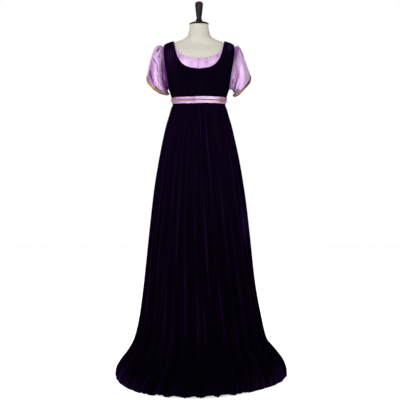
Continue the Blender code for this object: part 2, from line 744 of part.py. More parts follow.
def station_ring(station, angle):
    """The valley line of the skirt at one station. The train's shift eases off at the very back."""
    sine = np.sin(angle)
    depth = np.where(sine > 0, station.back, station.front)
    end_z = np.where(sine > 0, station.back_z, station.front_z)
    x = station.side * rounded(np.cos(angle), 2 / station.square)
    behind = np.maximum(sine, 0.0)
    x = x - station.lean + station.shift * behind**3 * (SHIFT_BEHIND - SHIFT_EASED * behind**4)
    y = depth * rounded(sine, 2 / station.square)
    z = station.side_z + (end_z - station.side_z) * sine**2
    return np.stack([x, y, z], -1)


def ring_normals(grid):
    """Outward normals of rows that go down the skirt and columns that close round it."""
    around = np.roll(grid, -1, axis=1) - np.roll(grid, 1, axis=1)
    down = np.gradient(grid, axis=0)
    return unit(np.cross(down, around))


def skirt_grids():
    phase, waist, hem, depth = fold_angles()
    rows = [over_form(waist, SKIRT_SEAM_Z, VELVET_LIFT), over_form(waist, SKIRT_FREE_Z, VELVET_LIFT)]
    fold = [0.0, SKIRT_FREE_FOLD]
    for station in SKIRT_STATIONS:
        angle = waist + (hem - waist) * station.hem_share
        rows.append(station_ring(station, angle))
        fold.append(station.fold)
    base = np.array(rows)
    wave = (0.5 + 0.5 * np.cos(math.tau * phase)) ** FOLD_SHARPNESS
    height = np.array(fold)[:, None] * wave * depth
    inner = base + ring_normals(base) * height[..., None]
    outer = inner + ring_normals(inner) * VELVET
    inner[0, :, 2] = SKIRT_SEAM_Z
    outer[0, :, 2] = SKIRT_SEAM_Z
    inner[-1, :, 2] = np.maximum(inner[-1, :, 2], 0.0)
    outer[..., 2] = np.maximum(outer[..., 2], 0.0)
    return inner, outer


def add_skirt(velvet):
    """Front panel and two back panels, parted in the valleys at the sides and the centre back."""
    inner, outer = skirt_grids()
    back_columns = len(BACK_FOLDS) * BACK_FOLD_COLUMNS
    half = back_columns // 2
    inner = np.concatenate([inner, inner[:, :1]], axis=1)
    outer = np.concatenate([outer, outer[:, :1]], axis=1)
    spans = {
        "skirt_back_left": slice(0, half + 1),
        "skirt_back_right": slice(half, back_columns + 1),
        "skirt_front": slice(back_columns, None),
    }
    for name, span in spans.items():
        add_wall(name, [nudged(inner[:, span], outer[:, span])], velvet)


# The sash
def sash_run(start, end):
    """Angles in degrees from start to end, with the sash's own columns between them."""
    first = math.floor((start - 0.01) / SASH_STEP) * SASH_STEP
    return np.array([start, *np.arange(first, end + 0.01, -SASH_STEP), end])


def sash_lift(degrees):
    """The sash's free end rises over the other end at the centre back."""
    past = ease((SASH_LAP_RISE_FROM - degrees) / (SASH_LAP_RISE_FROM - SASH_LAP_RISE_TO))
    return SASH_LIFT + past * (SASH_WALL + SASH_LAP_GAP)


def sash_height(degrees):
    """The free end sits a little above the middle of the run, and the end beneath it a little below."""
    over = ease((SASH_OVER_LEVEL - degrees) / (SASH_OVER_LEVEL - SASH_OVER_END + 360))
    under = ease((degrees - SASH_UNDER_LEVEL) / (SASH_UNDER_END - SASH_UNDER_LEVEL))
    return SASH_END_STEP * (over - under)


def sash_grids(degrees, low, high, lift, wall):
    """Inner and outer rows. Low and high are heights above the sash's middle at each angle."""
    middle = (SASH_BOTTOM + SASH_TOP) / 2
    angle = np.radians(degrees)
    foot = form_point(angle, SASH_BOTTOM + 0 * angle)
    head = form_point(angle, SASH_TOP + 0 * angle)
    outward = form_normal(angle, middle + 0 * angle)
    grids = []
    for off in (lift, lift + wall):
        rows = []
        for height in (low, high):
            z = middle + height + sash_height(degrees)
            share = ((z - SASH_BOTTOM) / (SASH_TOP - SASH_BOTTOM))[:, None]
            rows.append(foot + (head - foot) * share + outward * off[:, None])
        grids.append(np.array(rows))
    return grids


def add_sash(satin, gold):
    degrees = sash_run(SASH_UNDER_END, SASH_OVER_END - 360)
    half = (SASH_TOP - SASH_BOTTOM) / 2 + 0 * degrees
    inner, outer = sash_grids(degrees, -half, half, sash_lift(degrees), SASH_WALL)
    add_wall("sash", [(inner, outer)], satin)
    degrees = sash_run(SASH_OVER_END - TRIM_END_GAP, SASH_OVER_END + TRIM_END_GAP - 360)
    oval = 0 * degrees
    for centre in OVAL_CENTRES:
        away = np.clip(np.abs(degrees - centre) / OVAL_HALF_ANGLE, 0, 1)
        oval = np.maximum(oval, np.cos(away * np.pi / 2))
    height = TRIM_HEIGHT / 2 + (OVAL_HEIGHT - TRIM_HEIGHT) / 2 * oval
    lift = sash_lift(degrees) + SASH_WALL + SEAM_GAP
    inner, outer = sash_grids(degrees, -height, height, lift, TRIM_WALL)
    add_wall("sash_trim", [(inner, outer)], gold)


# The form and its stand
def add_form(linen):
    """The torso and neck in one, closed flat at both ends."""
    heights = sorted({*column(FORM_SECTIONS, "z"), *FORM_EXTRA_RINGS})
    angle = np.linspace(0, math.tau, FORM_SEGMENTS, endpoint=False)
    rings = np.array([form_point(angle, z + 0 * angle) for z in heights])
    points = list(rings.reshape(-1, 3))
    faces = []
    for i in range(len(heights) - 1):
        for j in range(FORM_SEGMENTS):
            k = (j + 1) % FORM_SEGMENTS
            low, high = i * FORM_SEGMENTS, (i + 1) * FORM_SEGMENTS
            faces.append([low + j, low + k, high + k, high + j])
    faces.append(list(range(FORM_SEGMENTS)))
    faces.append([(len(heights) - 1) * FORM_SEGMENTS + j for j in range(FORM_SEGMENTS)])
    add_object("form_torso", points, faces, linen)


def raised(outline, foot):
    return [(spot.radius, foot + spot.height) for spot in outline]


def add_neck_top(black):
    """The cap that closes the neck, with its turned handle."""
    seat = NECK_TOP + SEAM_GAP
    add_turned("neck_cap", raised(CAP_OUTLINE, seat), black)
    foot = seat + CAP_OUTLINE[-1].height + SEAM_GAP
    add_turned("neck_handle", raised(HANDLE_OUTLINE, foot), black)


def add_stand(iron):
    """The pole with its flange under the form, and the round base with its socket."""
    flange_top = FORM_BOTTOM - SEAM_GAP
    pole = [
        (0.0, SOCKET_FLOOR + SEAM_GAP),
        (POLE_RADIUS, SOCKET_FLOOR + SEAM_GAP),
        (POLE_RADIUS, flange_top - FLANGE_HEIGHT),
        (FLANGE_RADIUS, flange_top - FLANGE_HEIGHT),
        (FLANGE_RADIUS, flange_top),
        (0.0, flange_top),
    ]
    add_turned("stand_pole", pole, iron)
    base = [
        (0.0, 0.0),
        (BASE_RADIUS, 0.0),
        (BASE_RADIUS, BASE_EDGE),
        (COLLAR_RADIUS + COLLAR_FLARE, BASE_EDGE + COLLAR_FLARE),
        (COLLAR_RADIUS, BASE_EDGE + 2 * COLLAR_FLARE),
        (COLLAR_RADIUS, COLLAR_TOP),
        (POLE_RADIUS + POLE_EASE, COLLAR_TOP),
        (POLE_RADIUS + POLE_EASE, SOCKET_FLOOR),
        (0.0, SOCKET_FLOOR),
    ]
    add_turned("stand_base", base, iron, BASE_SEGMENTS)


def main():
    clear_scene()
    velvet = finish("purple_velvet", (0.010, 0.003, 0.022), 0.85)
    satin = finish("lavender_satin", (0.62, 0.42, 0.70), 0.38)
    gold = finish("gold_braid", (0.55, 0.38, 0.12), 0.42, 0.6)
    linen = finish("natural_linen", (0.60, 0.57, 0.49), 0.90)
    black = finish("black_wood", (0.015, 0.013, 0.014), 0.35)
    iron = finish("black_iron", (0.018, 0.018, 0.018), 0.50, 0.4)
    add_form(linen)
    add_neck_top(black)
    add_stand(iron)
    add_velvet_bodice(velvet)
    add_buttons(satin, add_under_bodice(satin))
    add_sleeves(satin, gold)
    add_skirt(velvet)
    add_sash(satin, gold)


main()
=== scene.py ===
"""Looks of the high-waisted velvet dress, its satin, its gold trim, the linen form and a plain studio.

Metres, +Z up. The dress faces -Y, its train lies towards +Y, and its left sleeve is at +X. The camera
looks at the back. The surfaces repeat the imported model's own sizes, on finer grids.
"""
import math
from collections import namedtuple

import bpy
import numpy as np
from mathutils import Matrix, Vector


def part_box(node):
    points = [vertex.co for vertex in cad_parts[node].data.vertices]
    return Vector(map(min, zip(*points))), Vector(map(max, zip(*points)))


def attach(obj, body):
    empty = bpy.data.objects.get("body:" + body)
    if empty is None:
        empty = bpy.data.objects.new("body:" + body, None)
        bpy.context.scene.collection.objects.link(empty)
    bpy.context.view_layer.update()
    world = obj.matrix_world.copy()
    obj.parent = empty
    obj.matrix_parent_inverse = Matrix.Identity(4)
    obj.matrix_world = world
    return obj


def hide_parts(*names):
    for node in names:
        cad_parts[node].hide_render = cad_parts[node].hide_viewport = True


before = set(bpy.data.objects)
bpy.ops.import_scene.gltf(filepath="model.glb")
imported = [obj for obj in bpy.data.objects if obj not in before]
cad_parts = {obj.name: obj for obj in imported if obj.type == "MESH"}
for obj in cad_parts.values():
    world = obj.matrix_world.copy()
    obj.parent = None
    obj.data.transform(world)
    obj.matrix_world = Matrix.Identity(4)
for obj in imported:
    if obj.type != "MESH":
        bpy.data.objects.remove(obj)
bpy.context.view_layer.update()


def table(kind, *rows):
    """The rows as named tuples of one kind."""
    return [kind(*row) for row in rows]


# Heights of the form and the dress
NECK_TOP = 1.551
SHOULDER_TIP = 1.455
UNDERARM = 1.263
WAIST_SEAM = 1.215
SEAM_GAP = 0.0003

# How far each layer lies off the form, and the cloth's own thickness here
SATIN = 0.0012
VELVET = 0.0020
UNDER_LIFT = 0.0020
VELVET_LIFT = 0.0049
SHOULDER_DROP = 0.0010
SHOULDER_DROP_FROM = 1.425
SHOULDER_DROP_FULL = 1.450
SHELL_WALL = 0.0012

# The sash
SASH_BOTTOM = 1.2005
SASH_TOP = 1.2270
SASH_LIFT = 0.0081
SASH_WALL = 0.0012
SASH_UNDER_END = 95.0
SASH_OVER_END = 85.0
SASH_LAP_GAP = 0.0006
SASH_LAP_RISE_FROM = -233.0
SASH_LAP_RISE_TO = -261.0
SASH_END_STEP = 0.0010
SASH_UNDER_LEVEL = 20.0
SASH_OVER_LEVEL = -180.0
OVAL_HALF_HEIGHT = 0.0105
OVAL_HALF_ANGLE = 16.5
OVAL_CENTRES = (20.0, -90.0, -215.0)

# Sleeves: turns are degrees round the armhole, 0 at the shoulder and 180 at the underarm. Shares run
# from the armhole to the hem
ARMHOLE_BACK = 0.047
ARMHOLE_FRONT = 0.046
VELVET_ARMHOLE_EASE = 0.0025
SLEEVE_ROOT_INSET = SATIN + SEAM_GAP + 0.0030
SLEEVE_STAND = 0.008
SLEEVE_STAND_SHARE = 0.07
RIGHT_SLEEVE_SETTLE = 0.016
SETTLE_END = 120.0
SETTLE_FALL = 0.38
SETTLE_AT_HEM = 0.20
LEFT_SLEEVE_TUCK = 0.018
TUCK_FROM = 95.0
TUCK_FULL = 160.0
TUCK_AT_SWELL = 0.5
LEFT_HEM_RISE = 0.0065
RISE_FROM = 58.0
RISE_FULL = 100.0
SLEEVE_LAP = 0.0064
SLEEVE_LAP_END = 72.0
LAP_SINK_FROM = -128.0
LAP_SINK_FULL = -84.0
PETAL_CLIMB = 0.86
PETAL_CLIMB_POWER = 1.25
SLEEVE_GATHERS = 9.0
SLEEVE_GATHER_DEPTH = 0.0026
GATHER_FULL = 0.22
GATHER_FADE_FROM = 0.30
GATHER_FADE_TO = 0.85
GATHER_AT_UNDERARM = 0.35
PUCKERS = 31
PUCKER_SWAY = (1.3, 5)
PUCKER_HEIGHT = 0.0009
PUCKER_START = 0.02
PUCKER_START_RUN = 0.06
PUCKER_FADE = 0.10
PUCKER_FADE_RUN = 0.22
UNDER_PLAIN_FROM = -66.0
UNDER_PLAIN_RUN = 30.0
CREASE_BELOW_SEAM = 0.12
PIPING_RADIUS = 0.0027
PIPING_GAP = 0.0004
PIPING_PRESSED = 0.9
PIPING_LOOK_BACK = 0.004
PIPING_PITCH = 0.0085
PIPING_SIDES = 7

Section = namedtuple("Section", "z half_width back front square")
FORM_SECTIONS = table(
    Section,
    (0.790, 0.140, 0.088, 0.084, 2.2),
    (0.805, 0.148, 0.096, 0.090, 2.3),
    (0.860, 0.155, 0.106, 0.093, 2.3),
    (0.930, 0.152, 0.105, 0.093, 2.3),
    (1.000, 0.135, 0.090, 0.088, 2.2),
    (1.080, 0.112, 0.074, 0.082, 2.2),
    (1.140, 0.1065, 0.074, 0.084, 2.2),
    (1.190, 0.1085, 0.079, 0.090, 2.2),
    (1.215, 0.1120, 0.083, 0.096, 2.2),
    (1.240, 0.1190, 0.087, 0.107, 2.3),
    (1.265, 0.1270, 0.091, 0.117, 2.5),
    (1.290, 0.1330, 0.095, 0.124, 2.6),
    (1.325, 0.1405, 0.098, 0.118, 2.8),
    (1.360, 0.1470, 0.098, 0.103, 3.0),
    (1.400, 0.1520, 0.092, 0.084, 3.1),
    (1.430, 0.1537, 0.080, 0.067, 3.0),
    (1.445, 0.1530, 0.068, 0.056, 2.7),
    (1.455, 0.1510, 0.060, 0.050, 2.5),
    (1.4615, 0.1430, 0.056, 0.047, 2.3),
    (1.4725, 0.1100, 0.053, 0.046, 2.1),
    (1.485, 0.0745, 0.051, 0.047, 2.0),
    (1.4935, 0.0585, 0.049, 0.048, 2.0),
    (1.503, 0.0510, 0.047, 0.047, 2.0),
    (1.528, 0.0440, 0.044, 0.044, 2.0),
    (NECK_TOP, 0.0412, 0.0412, 0.0412, 2.0),
)

# Half outlines of the necklines, from the centre to the shoulder seam
Edge = namedtuple("Edge", "x z")
VELVET_BACK_NECK = table(
    Edge,
    (0.0, 1.3450),
    (0.040, 1.3505),
    (0.066, 1.3625),
    (0.082, 1.3790),
    (0.0935, 1.4000),
    (0.1020, 1.4260),
    (0.1085, 1.4550),
    (0.1120, 1.4722),
)
VELVET_FRONT_NECK = table(
    Edge,
    (0.0, 1.3080),
    (0.042, 1.3140),
    (0.070, 1.3290),
    (0.087, 1.3520),
    (0.097, 1.3850),
    (0.1040, 1.4200),
    (0.1090, 1.4530),
    (0.1120, 1.4722),
)
UNDER_BACK_NECK = table(
    Edge,
    (0.0, 1.3905),
    (0.024, 1.3915),
    (0.048, 1.3960),
    (0.072, 1.4055),
    (0.090, 1.4200),
    (0.103, 1.4380),
    (0.1125, 1.4590),
    (0.1170, 1.4706),
)
UNDER_FRONT_NECK = table(
    Edge,
    (0.0, 1.3420),
    (0.034, 1.3450),
    (0.062, 1.3560),
    (0.084, 1.3770),
    (0.099, 1.4050),
    (0.108, 1.4330),
    (0.1140, 1.4570),
    (0.1170, 1.4706),
)

# The skirt's valleys at each station, from the seam to the hem
Station = namedtuple("Station", "side_z back_z front_z side back front fold hem_share lean shift square")
SKIRT_STATIONS = table(
    Station,
    (1.160, 1.160, 1.160, 0.1235, 0.096, 0.106, 0.0035, 0.00, 0.000, 0.000, 2.15),
    (1.090, 1.090, 1.090, 0.1425, 0.120, 0.125, 0.0070, 0.05, 0.000, 0.000, 2.15),
    (0.970, 0.970, 0.970, 0.1660, 0.148, 0.151, 0.0105, 0.18, 0.000, 0.000, 2.15),
    (0.800, 0.800, 0.800, 0.1895, 0.179, 0.180, 0.0140, 0.36, 0.000, 0.000, 2.15),
    (0.600, 0.600, 0.600, 0.2115, 0.212, 0.204, 0.0170, 0.54, 0.000, 0.000, 2.15),
    (0.410, 0.410, 0.410, 0.2300, 0.252, 0.226, 0.0195, 0.70, 0.002, 0.000, 2.15),
    (0.260, 0.250, 0.260, 0.2500, 0.294, 0.246, 0.0215, 0.82, 0.006, 0.000, 2.15),
    (0.160, 0.140, 0.160, 0.2720, 0.342, 0.263, 0.0225, 0.90, 0.006, 0.005, 2.12),
    (0.100, 0.068, 0.090, 0.3120, 0.387, 0.280, 0.0220, 0.95, 0.013, 0.016, 2.06),
    (0.062, 0.026, 0.046, 0.3430, 0.433, 0.295, 0.0200, 0.98, 0.012, 0.026, 2.00),
    (0.030, 0.006, 0.018, 0.3620, 0.482, 0.309, 0.0140, 1.00, 0.009, 0.036, 1.98),
    (0.000, 0.000, 0.000, 0.3690, 0.514, 0.321, 0.0070, 1.00, 0.009, 0.045, 1.96),
)
SHIFT_BEHIND = 1.9
SHIFT_EASED = 1.3
SKIRT_SEAM_Z = WAIST_SEAM - 1.5 * SEAM_GAP
SKIRT_FREE_Z = SASH_BOTTOM - 0.002
SKIRT_FREE_FOLD = 0.0006

# The skirt's folds, by the angle of each ridge round the form, 90 being the centre back. Lean tips a
# ridge sideways, and above its top a fold is still shallow
Fold = namedtuple("Fold", "waist hem depth lean top")
BACK_FOLDS = table(
    Fold,
    (5, 6, 0.80, 0.30, 0.95),
    (16, 17, 0.95, -0.40, 1.10),
    (27, 28, 0.70, 0.20, 0.78),
    (37, 37, 1.05, 0.50, 1.05),
    (47, 46, 1.15, -0.25, 1.14),
    (57, 57, 0.75, 0.35, 0.86),
    (67, 68, 1.20, 0.10, 1.12),
    (76, 79, 0.95, -0.50, 0.98),
    (84, 89, 0.70, 0.25, 0.72),
    (91, 100, 1.10, 0.45, 1.10),
    (100, 111, 1.20, -0.15, 1.15),
    (110, 123, 1.10, 0.40, 0.96),
    (121, 135, 0.80, -0.35, 0.80),
    (133, 148, 1.15, 0.20, 1.12),
    (148, 159, 0.90, -0.45, 0.92),
    (165, 171, 1.00, 0.30, 1.06),
)
FRONT_FOLDS = table(
    Fold,
    (181, 184, 0.80, -0.20, 0.84),
    (197, 199, 0.95, 0.35, 1.08),
    (214, 215, 0.80, -0.40, 0.90),
    (231, 231, 1.05, 0.25, 1.12),
    (247, 247, 0.85, -0.15, 0.94),
    (262, 262, 0.70, 0.30, 0.76),
    (278, 279, 0.75, -0.35, 0.88),
    (294, 294, 1.00, 0.20, 1.10),
    (310, 310, 0.80, 0.40, 0.82),
    (326, 326, 0.95, -0.30, 1.06),
    (345, 346, 0.85, 0.15, 0.92),
)
FOLD_SHARPNESS = 1.1
FOLD_FULLNESS = 0.42
FOLD_LEAN = 0.16
SHALLOW_SHARE = 0.45

# Lesser ridges that run down the flanks of the folds. Place counts folds round the skirt from the left
# side seam, and drift moves the ridge on by the time it ends
Ridge = namedtuple("Ridge", "place drift top foot width height")
SMALL_RIDGES = table(
    Ridge,
    (0.42, 0.10, 0.98, 0.36, 0.13, 0.0042),
    (1.38, -0.08, 0.70, 0.05, 0.12, 0.0050),
    (2.50, 0.12, 1.05, 0.55, 0.14, 0.0036),
    (3.36, 0.10, 0.82, 0.16, 0.12, 0.0054),
    (4.46, -0.14, 0.60, 0.03, 0.15, 0.0060),
    (5.30, 0.16, 0.94, 0.30, 0.12, 0.0046),
    (6.58, -0.12, 0.76, 0.08, 0.13, 0.0052),
    (7.44, 0.14, 1.02, 0.44, 0.12, 0.0040),
    (8.40, 0.20, 0.66, 0.02, 0.16, 0.0058),
    (9.46, -0.10, 0.90, 0.26, 0.12, 0.0048),
    (10.36, 0.16, 0.72, 0.06, 0.13, 0.0056),
    (11.52, 0.08, 1.00, 0.40, 0.12, 0.0040),
    (12.42, 0.14, 0.80, 0.10, 0.14, 0.0050),
    (13.56, -0.12, 0.92, 0.34, 0.12, 0.0044),
    (14.40, 0.12, 0.68, 0.04, 0.14, 0.0056),
    (15.44, -0.10, 0.96, 0.42, 0.12, 0.0040),
    (16.50, 0.10, 0.74, 0.10, 0.13, 0.0050),
    (17.42, 0.08, 1.04, 0.50, 0.12, 0.0038),
    (18.38, -0.12, 0.70, 0.06, 0.14, 0.0054),
    (19.54, 0.10, 0.90, 0.28, 0.13, 0.0046),
    (20.44, -0.10, 0.64, 0.05, 0.14, 0.0052),
    (21.40, 0.12, 0.98, 0.38, 0.12, 0.0042),
    (22.56, -0.08, 0.78, 0.12, 0.13, 0.0050),
    (23.42, 0.10, 0.92, 0.32, 0.12, 0.0044),
    (24.48, 0.14, 0.68, 0.04, 0.14, 0.0054),
    (25.40, -0.10, 1.00, 0.46, 0.12, 0.0040),
)

# Fine gathers under the sash
GATHERS_PER_FOLD = 3
GATHER_HEIGHT = 0.0024
GATHER_START_Z = 1.1965
GATHER_START_RUN = 0.013
GATHER_SEED = 11
GATHERS_PAST_ENDS = 4
GATHER_JITTER = (-0.22, 0.22)
GATHER_STRENGTH = (0.55, 1.25)
GATHER_END = (0.90, 1.13)
GATHER_END_RUN = 0.24
GATHER_SHARPNESS = 1.2

# The skirt's grid, and how its folds, its sway and its seams run
BACK_FOLD_COLUMNS = 36
FRONT_FOLD_COLUMNS = 22
SKIRT_ROWS = 108
SKIRT_ROW_SPREAD = 1.04
FOLDS_MOVED_BY_ROW = 3
SHALLOW_ABOVE_TOP = 0.16
SHALLOW_RUN = 0.30
RIDGE_START = 0.3
RIDGE_END = 1.12
RIDGE_END_RUN = 0.4
RIDGES_OFF_FLOOR = 0.05
SKIRT_SWAY = 0.0022
SWAY_RATE = 7.3
SWAY_ROUND = 5
SWAY_BELOW = 1.1
SWAY_RUN = 0.5
SKIRT_WALL_RUN = 0.03
SIDE_FROM = 0.16
SIDE_RUN = 0.14
SEAM_PARTING = 0.004
FOLD_ON_CLOTH = 0.095

# The hem's turning and its crumpled rim. Tucks are counted to a fold
HEM_TURNING = 0.028
HEM_LINE_DEPTH = 0.0005
HEM_LINE_WIDTH = 0.003
HEM_TUCKS = 3.3
HEM_TUCK_DEPTH = 0.0024
SIDE_TUCK_DEPTH = 0.0042
HEM_TUCK_RUN = 0.075
HEM_TUCK_LEAN = 34.0
HEM_TUCK_STRENGTH = 0.60

# Waves along the rim: how large, how many radians to a fold, and how far on they start
TUCK_DRIFT = (1.6, 2.9)
TUCK_JITTER = (0.8, 7.3, 1.0)
TUCK_LEANING = (1.0, 1.9, 0.4)
TUCK_STRENGTH_RATE = 4.1
TUCK_STRENGTH_DRIFT = (1.5, 1.3)
RIM_HIGHLIGHT_WAVE = (0.30, 3.7)
RIM_HIGHLIGHT_DRIFT = (2.0, 1.1)
PATCH_RATE = 1.7
PATCH_DRIFT = (2.0, 2.3)

# The velvet's level: painted highlights as lines on the crests, on the gathers and along the crumpled rim,
# painted shade lower down, and darker patches on the flare
NAP_TOP = 0.345
NAP_SHADED_LOW = 0.16
NAP_SHADE_FROM = 0.95
NAP_SHADE_RUN = 0.55
CREST_WIDTH = 0.038
CREST_ABOVE_TOP = 0.10
CREST_RUN = 0.25
CREST_FAINTEST = 0.15
CREST_SWAY_RATE = 9.0
CREST_SWAY_STEP = 2.4
CREST_ABOVE_HEM = 0.10
CREST_ABOVE_SIDE_HEM = 0.16
CREST_FOOT_RUN = 0.24
CREST_GAIN = 0.50
LESSER_CREST = 0.85
LESSER_CREST_WIDTH = 0.30
LESSER_FAINTEST = 0.4
LESSER_SWAY_RATE = 8.0
LESSER_SWAY_STEP = 1.9
GATHER_GAIN = 0.50
FLARE_DULLED = 0.10
PATCH_LEAN = 18.0
RIM_HIGHLIGHT_REACH = 0.125
RIM_HIGHLIGHT_SHARE = 0.80
RIM_BETWEEN_TUCKS = 0.30
RIM_AT_BACK = 0.40
RIM_GAIN = 0.80

# Paler spots on the velvet: x, z, half width, half height and how much. The left shoulder's is crushed nap
# and painted sheen, the right shoulder's is painted sheen
PALE_SKIRT_PATCH = (-0.200, 0.665, 0.024, 0.085, 0.42)
LEFT_SHOULDER_NAP_AND_SHEEN = (0.128, 1.405, 0.028, 0.055, 0.42)
RIGHT_SHOULDER_SHEEN = (-0.134, 1.448, 0.012, 0.030, 0.62)

# The sleeve on the +X side: four curves from the armhole to the hem, mirrored to the front
SleeveCurve = namedtuple("SleeveCurve", "turn swell_x swell_y swell_z low_x low_y low_z hem_x hem_y hem_z")
SLEEVE_CURVES = table(
    SleeveCurve,
    (0, 0.198, 0.000, 1.473, 0.213, 0.000, 1.418, 0.2315, 0.000, 1.322),
    (30, 0.194, 0.040, 1.462, 0.212, 0.050, 1.400, 0.2265, 0.039, 1.298),
    (60, 0.184, 0.070, 1.430, 0.205, 0.085, 1.362, 0.2110, 0.066, 1.276),
    (90, 0.172, 0.080, 1.375, 0.193, 0.097, 1.308, 0.1915, 0.076, 1.258),
    (120, 0.158, 0.066, 1.318, 0.178, 0.082, 1.268, 0.1715, 0.066, 1.245),
    (150, 0.150, 0.036, 1.278, 0.166, 0.047, 1.251, 0.1580, 0.038, 1.240),
    (180, 0.147, 0.000, 1.268, 0.160, 0.000, 1.250, 0.1530, 0.000, 1.241),
)

# Soft ridges, and troughs where the height is below zero, from one point to another. Bend bows the
# line sideways by that share of its length
Crease = namedtuple("Crease", "from_x from_y to_x to_y width height bend")

# Creases of the petals: x is the turn in degrees, negative at the front, and y the share to the hem
LEFT_BACK_CREASES = table(
    Crease,
    (50, 0.40, 24, 0.13, 0.028, -0.0068, 0.02),
    (58, 0.38, 42, 0.14, 0.026, 0.0024, 0.02),
    (60, 0.12, 69, 0.36, 0.022, -0.0030, 0.04),
    (40, 0.60, 84, 0.43, 0.017, -0.0042, 0.03),
    (34, 0.56, 84, 0.37, 0.030, 0.0022, 0.03),
    (79, 0.42, 92, 0.54, 0.022, -0.0034, 0.05),
    (70, 0.14, 122, 0.30, 0.050, -0.0050, 0.02),
    (104, 0.28, 156, 0.62, 0.066, -0.0062, 0.02),
    (34, 0.82, 92, 0.955, 0.038, -0.0044, 0.00),
    (76, 0.93, 140, 0.985, 0.026, -0.0060, 0.02),
    (66, 0.66, 144, 0.82, 0.050, 0.0024, 0.02),
    (58, 0.46, 92, 0.80, 0.060, 0.0022, 0.02),
    (104, 0.62, 118, 0.92, 0.020, -0.0020, 0.03),
    (-10, 0.20, 6, 0.80, 0.050, -0.0028, 0.06),
    (-34, 0.16, -26, 0.62, 0.040, -0.0024, -0.05),
)
RIGHT_BACK_CREASES = table(
    Crease,
    (126, 0.20, 84, 0.26, 0.020, -0.0082, 0.03),
    (124, 0.31, 88, 0.34, 0.017, -0.0060, 0.03),
    (128, 0.255, 94, 0.30, 0.012, 0.0030, 0.03),
    (110, 0.22, 152, 0.17, 0.034, -0.0086, 0.02),
    (168, 0.62, 90, 0.42, 0.034, -0.0090, 0.03),
    (160, 0.44, 112, 0.37, 0.026, -0.0050, 0.03),
    (154, 0.74, 92, 0.58, 0.050, 0.0030, 0.03),
    (52, 0.10, 84, 0.18, 0.026, -0.0040, 0.02),
    (44, 0.38, -4, 0.76, 0.034, -0.0052, 0.03),
    (48, 0.56, 8, 0.84, 0.044, 0.0028, 0.03),
    (32, 0.16, 56, 0.38, 0.026, -0.0032, 0.04),
    (18, 0.11, 38, 0.32, 0.022, -0.0024, -0.04),
    (148, 0.74, 108, 0.97, 0.040, -0.0024, 0.03),
    (66, 0.40, 78, 1.00, 0.080, 0.0026, 0.03),
    (-20, 0.18, -8, 0.72, 0.050, -0.0026, -0.05),
    (-44, 0.14, -38, 0.48, 0.040, -0.0022, 0.05),
)
LEFT_FRONT_CREASES = table(
    Crease,
    (-22, 0.16, -44, 0.60, 0.055, -0.0030, 0.06),
    (-48, 0.18, -66, 0.74, 0.060, -0.0028, -0.05),
    (-72, 0.22, -80, 1.00, 0.110, 0.0034, 0.03),
    (-104, 0.20, -100, 1.00, 0.090, -0.0032, -0.04),
    (-128, 0.18, -96, 0.60, 0.045, -0.0038, -0.08),
    (-112, 0.14, -88, 0.40, 0.022, -0.0030, 0.05),
    (-140, 0.25, -124, 0.92, 0.070, 0.0024, 0.05),
)
RIGHT_FRONT_CREASES = table(
    Crease,
    (-18, 0.16, -34, 0.52, 0.050, -0.0028, -0.06),
    (-40, 0.16, -60, 0.66, 0.055, -0.0030, 0.06),
    (-62, 0.30, -70, 1.00, 0.110, 0.0030, -0.03),
    (-92, 0.22, -94, 1.00, 0.080, -0.0030, 0.05),
    (-158, 0.58, -98, 0.41, 0.032, -0.0064, 0.03),
    (-150, 0.42, -112, 0.35, 0.024, -0.0040, 0.03),
    (-118, 0.24, -86, 0.29, 0.018, -0.0046, 0.03),
    (-136, 0.64, -106, 0.94, 0.050, -0.0026, -0.06),
)

# Painted highlight on parts of a petal, and painted shade where the level is below zero
Tone = namedtuple("Tone", "turn share turn_width share_width level")
LEFT_BACK_TONES = table(
    Tone,
    (62, 0.18, 12, 0.08, 0.20),
    (58, 0.40, 12, 0.10, 0.10),
    (130, 0.26, 22, 0.26, -0.30),
    (150, 0.50, 18, 0.34, -0.32),
    (20, 0.45, 8, 0.12, -0.22),
    (44, 0.86, 16, 0.09, -0.16),
    (92, 0.68, 16, 0.16, 0.06),
    (110, 0.02, 60, 0.06, -0.40),
    (100, 0.12, 30, 0.09, -0.26),
)
RIGHT_BACK_TONES = table(
    Tone,
    (104, 0.76, 40, 0.18, 0.08),
    (36, 0.78, 12, 0.26, 0.26),
    (96, 0.08, 32, 0.09, 0.30),
    (146, 0.32, 14, 0.08, 0.20),
    (176, 0.60, 9, 0.50, -0.36),
    (60, 0.74, 18, 0.24, 0.16),
    (20, 0.86, 24, 0.18, 0.34),
    (30, 0.62, 12, 0.12, 0.10),
    (64, 0.10, 14, 0.06, -0.26),
    (40, 0.20, 18, 0.11, -0.28),
    (12, 0.50, 14, 0.16, 0.16),
)
DEGREE_LENGTH = 0.0015
SHARE_LENGTH = 0.20

# Creases of the bodice: x across and y up, in metres. Each is on both halves, as the sides pull alike
BACK_BODICE_CREASES = table(
    Crease,
    (0.118, 1.285, 0.060, 1.250, 0.006, -0.0009, 0.06),
    (0.112, 1.262, 0.052, 1.236, 0.005, 0.0008, -0.05),
    (0.040, 1.236, 0.046, 1.290, 0.006, -0.0007, 0.04),
    (0.018, 1.236, 0.016, 1.274, 0.005, -0.0006, 0.03),
    (0.078, 1.236, 0.088, 1.300, 0.007, -0.0008, 0.05),
    (0.116, 1.330, 0.094, 1.380, 0.008, -0.0008, 0.04),
)
FRONT_BODICE_CREASES = table(
    Crease,
    (0.030, 1.236, 0.034, 1.282, 0.005, -0.0010, 0.04),
    (0.052, 1.236, 0.058, 1.286, 0.006, -0.0011, 0.04),
    (0.072, 1.236, 0.080, 1.280, 0.005, -0.0010, -0.04),
    (0.010, 1.236, 0.010, 1.272, 0.005, -0.0008, 0.02),
    (0.120, 1.288, 0.088, 1.310, 0.007, -0.0009, 0.05),
    (0.112, 1.340, 0.096, 1.372, 0.007, -0.0008, 0.04),
)
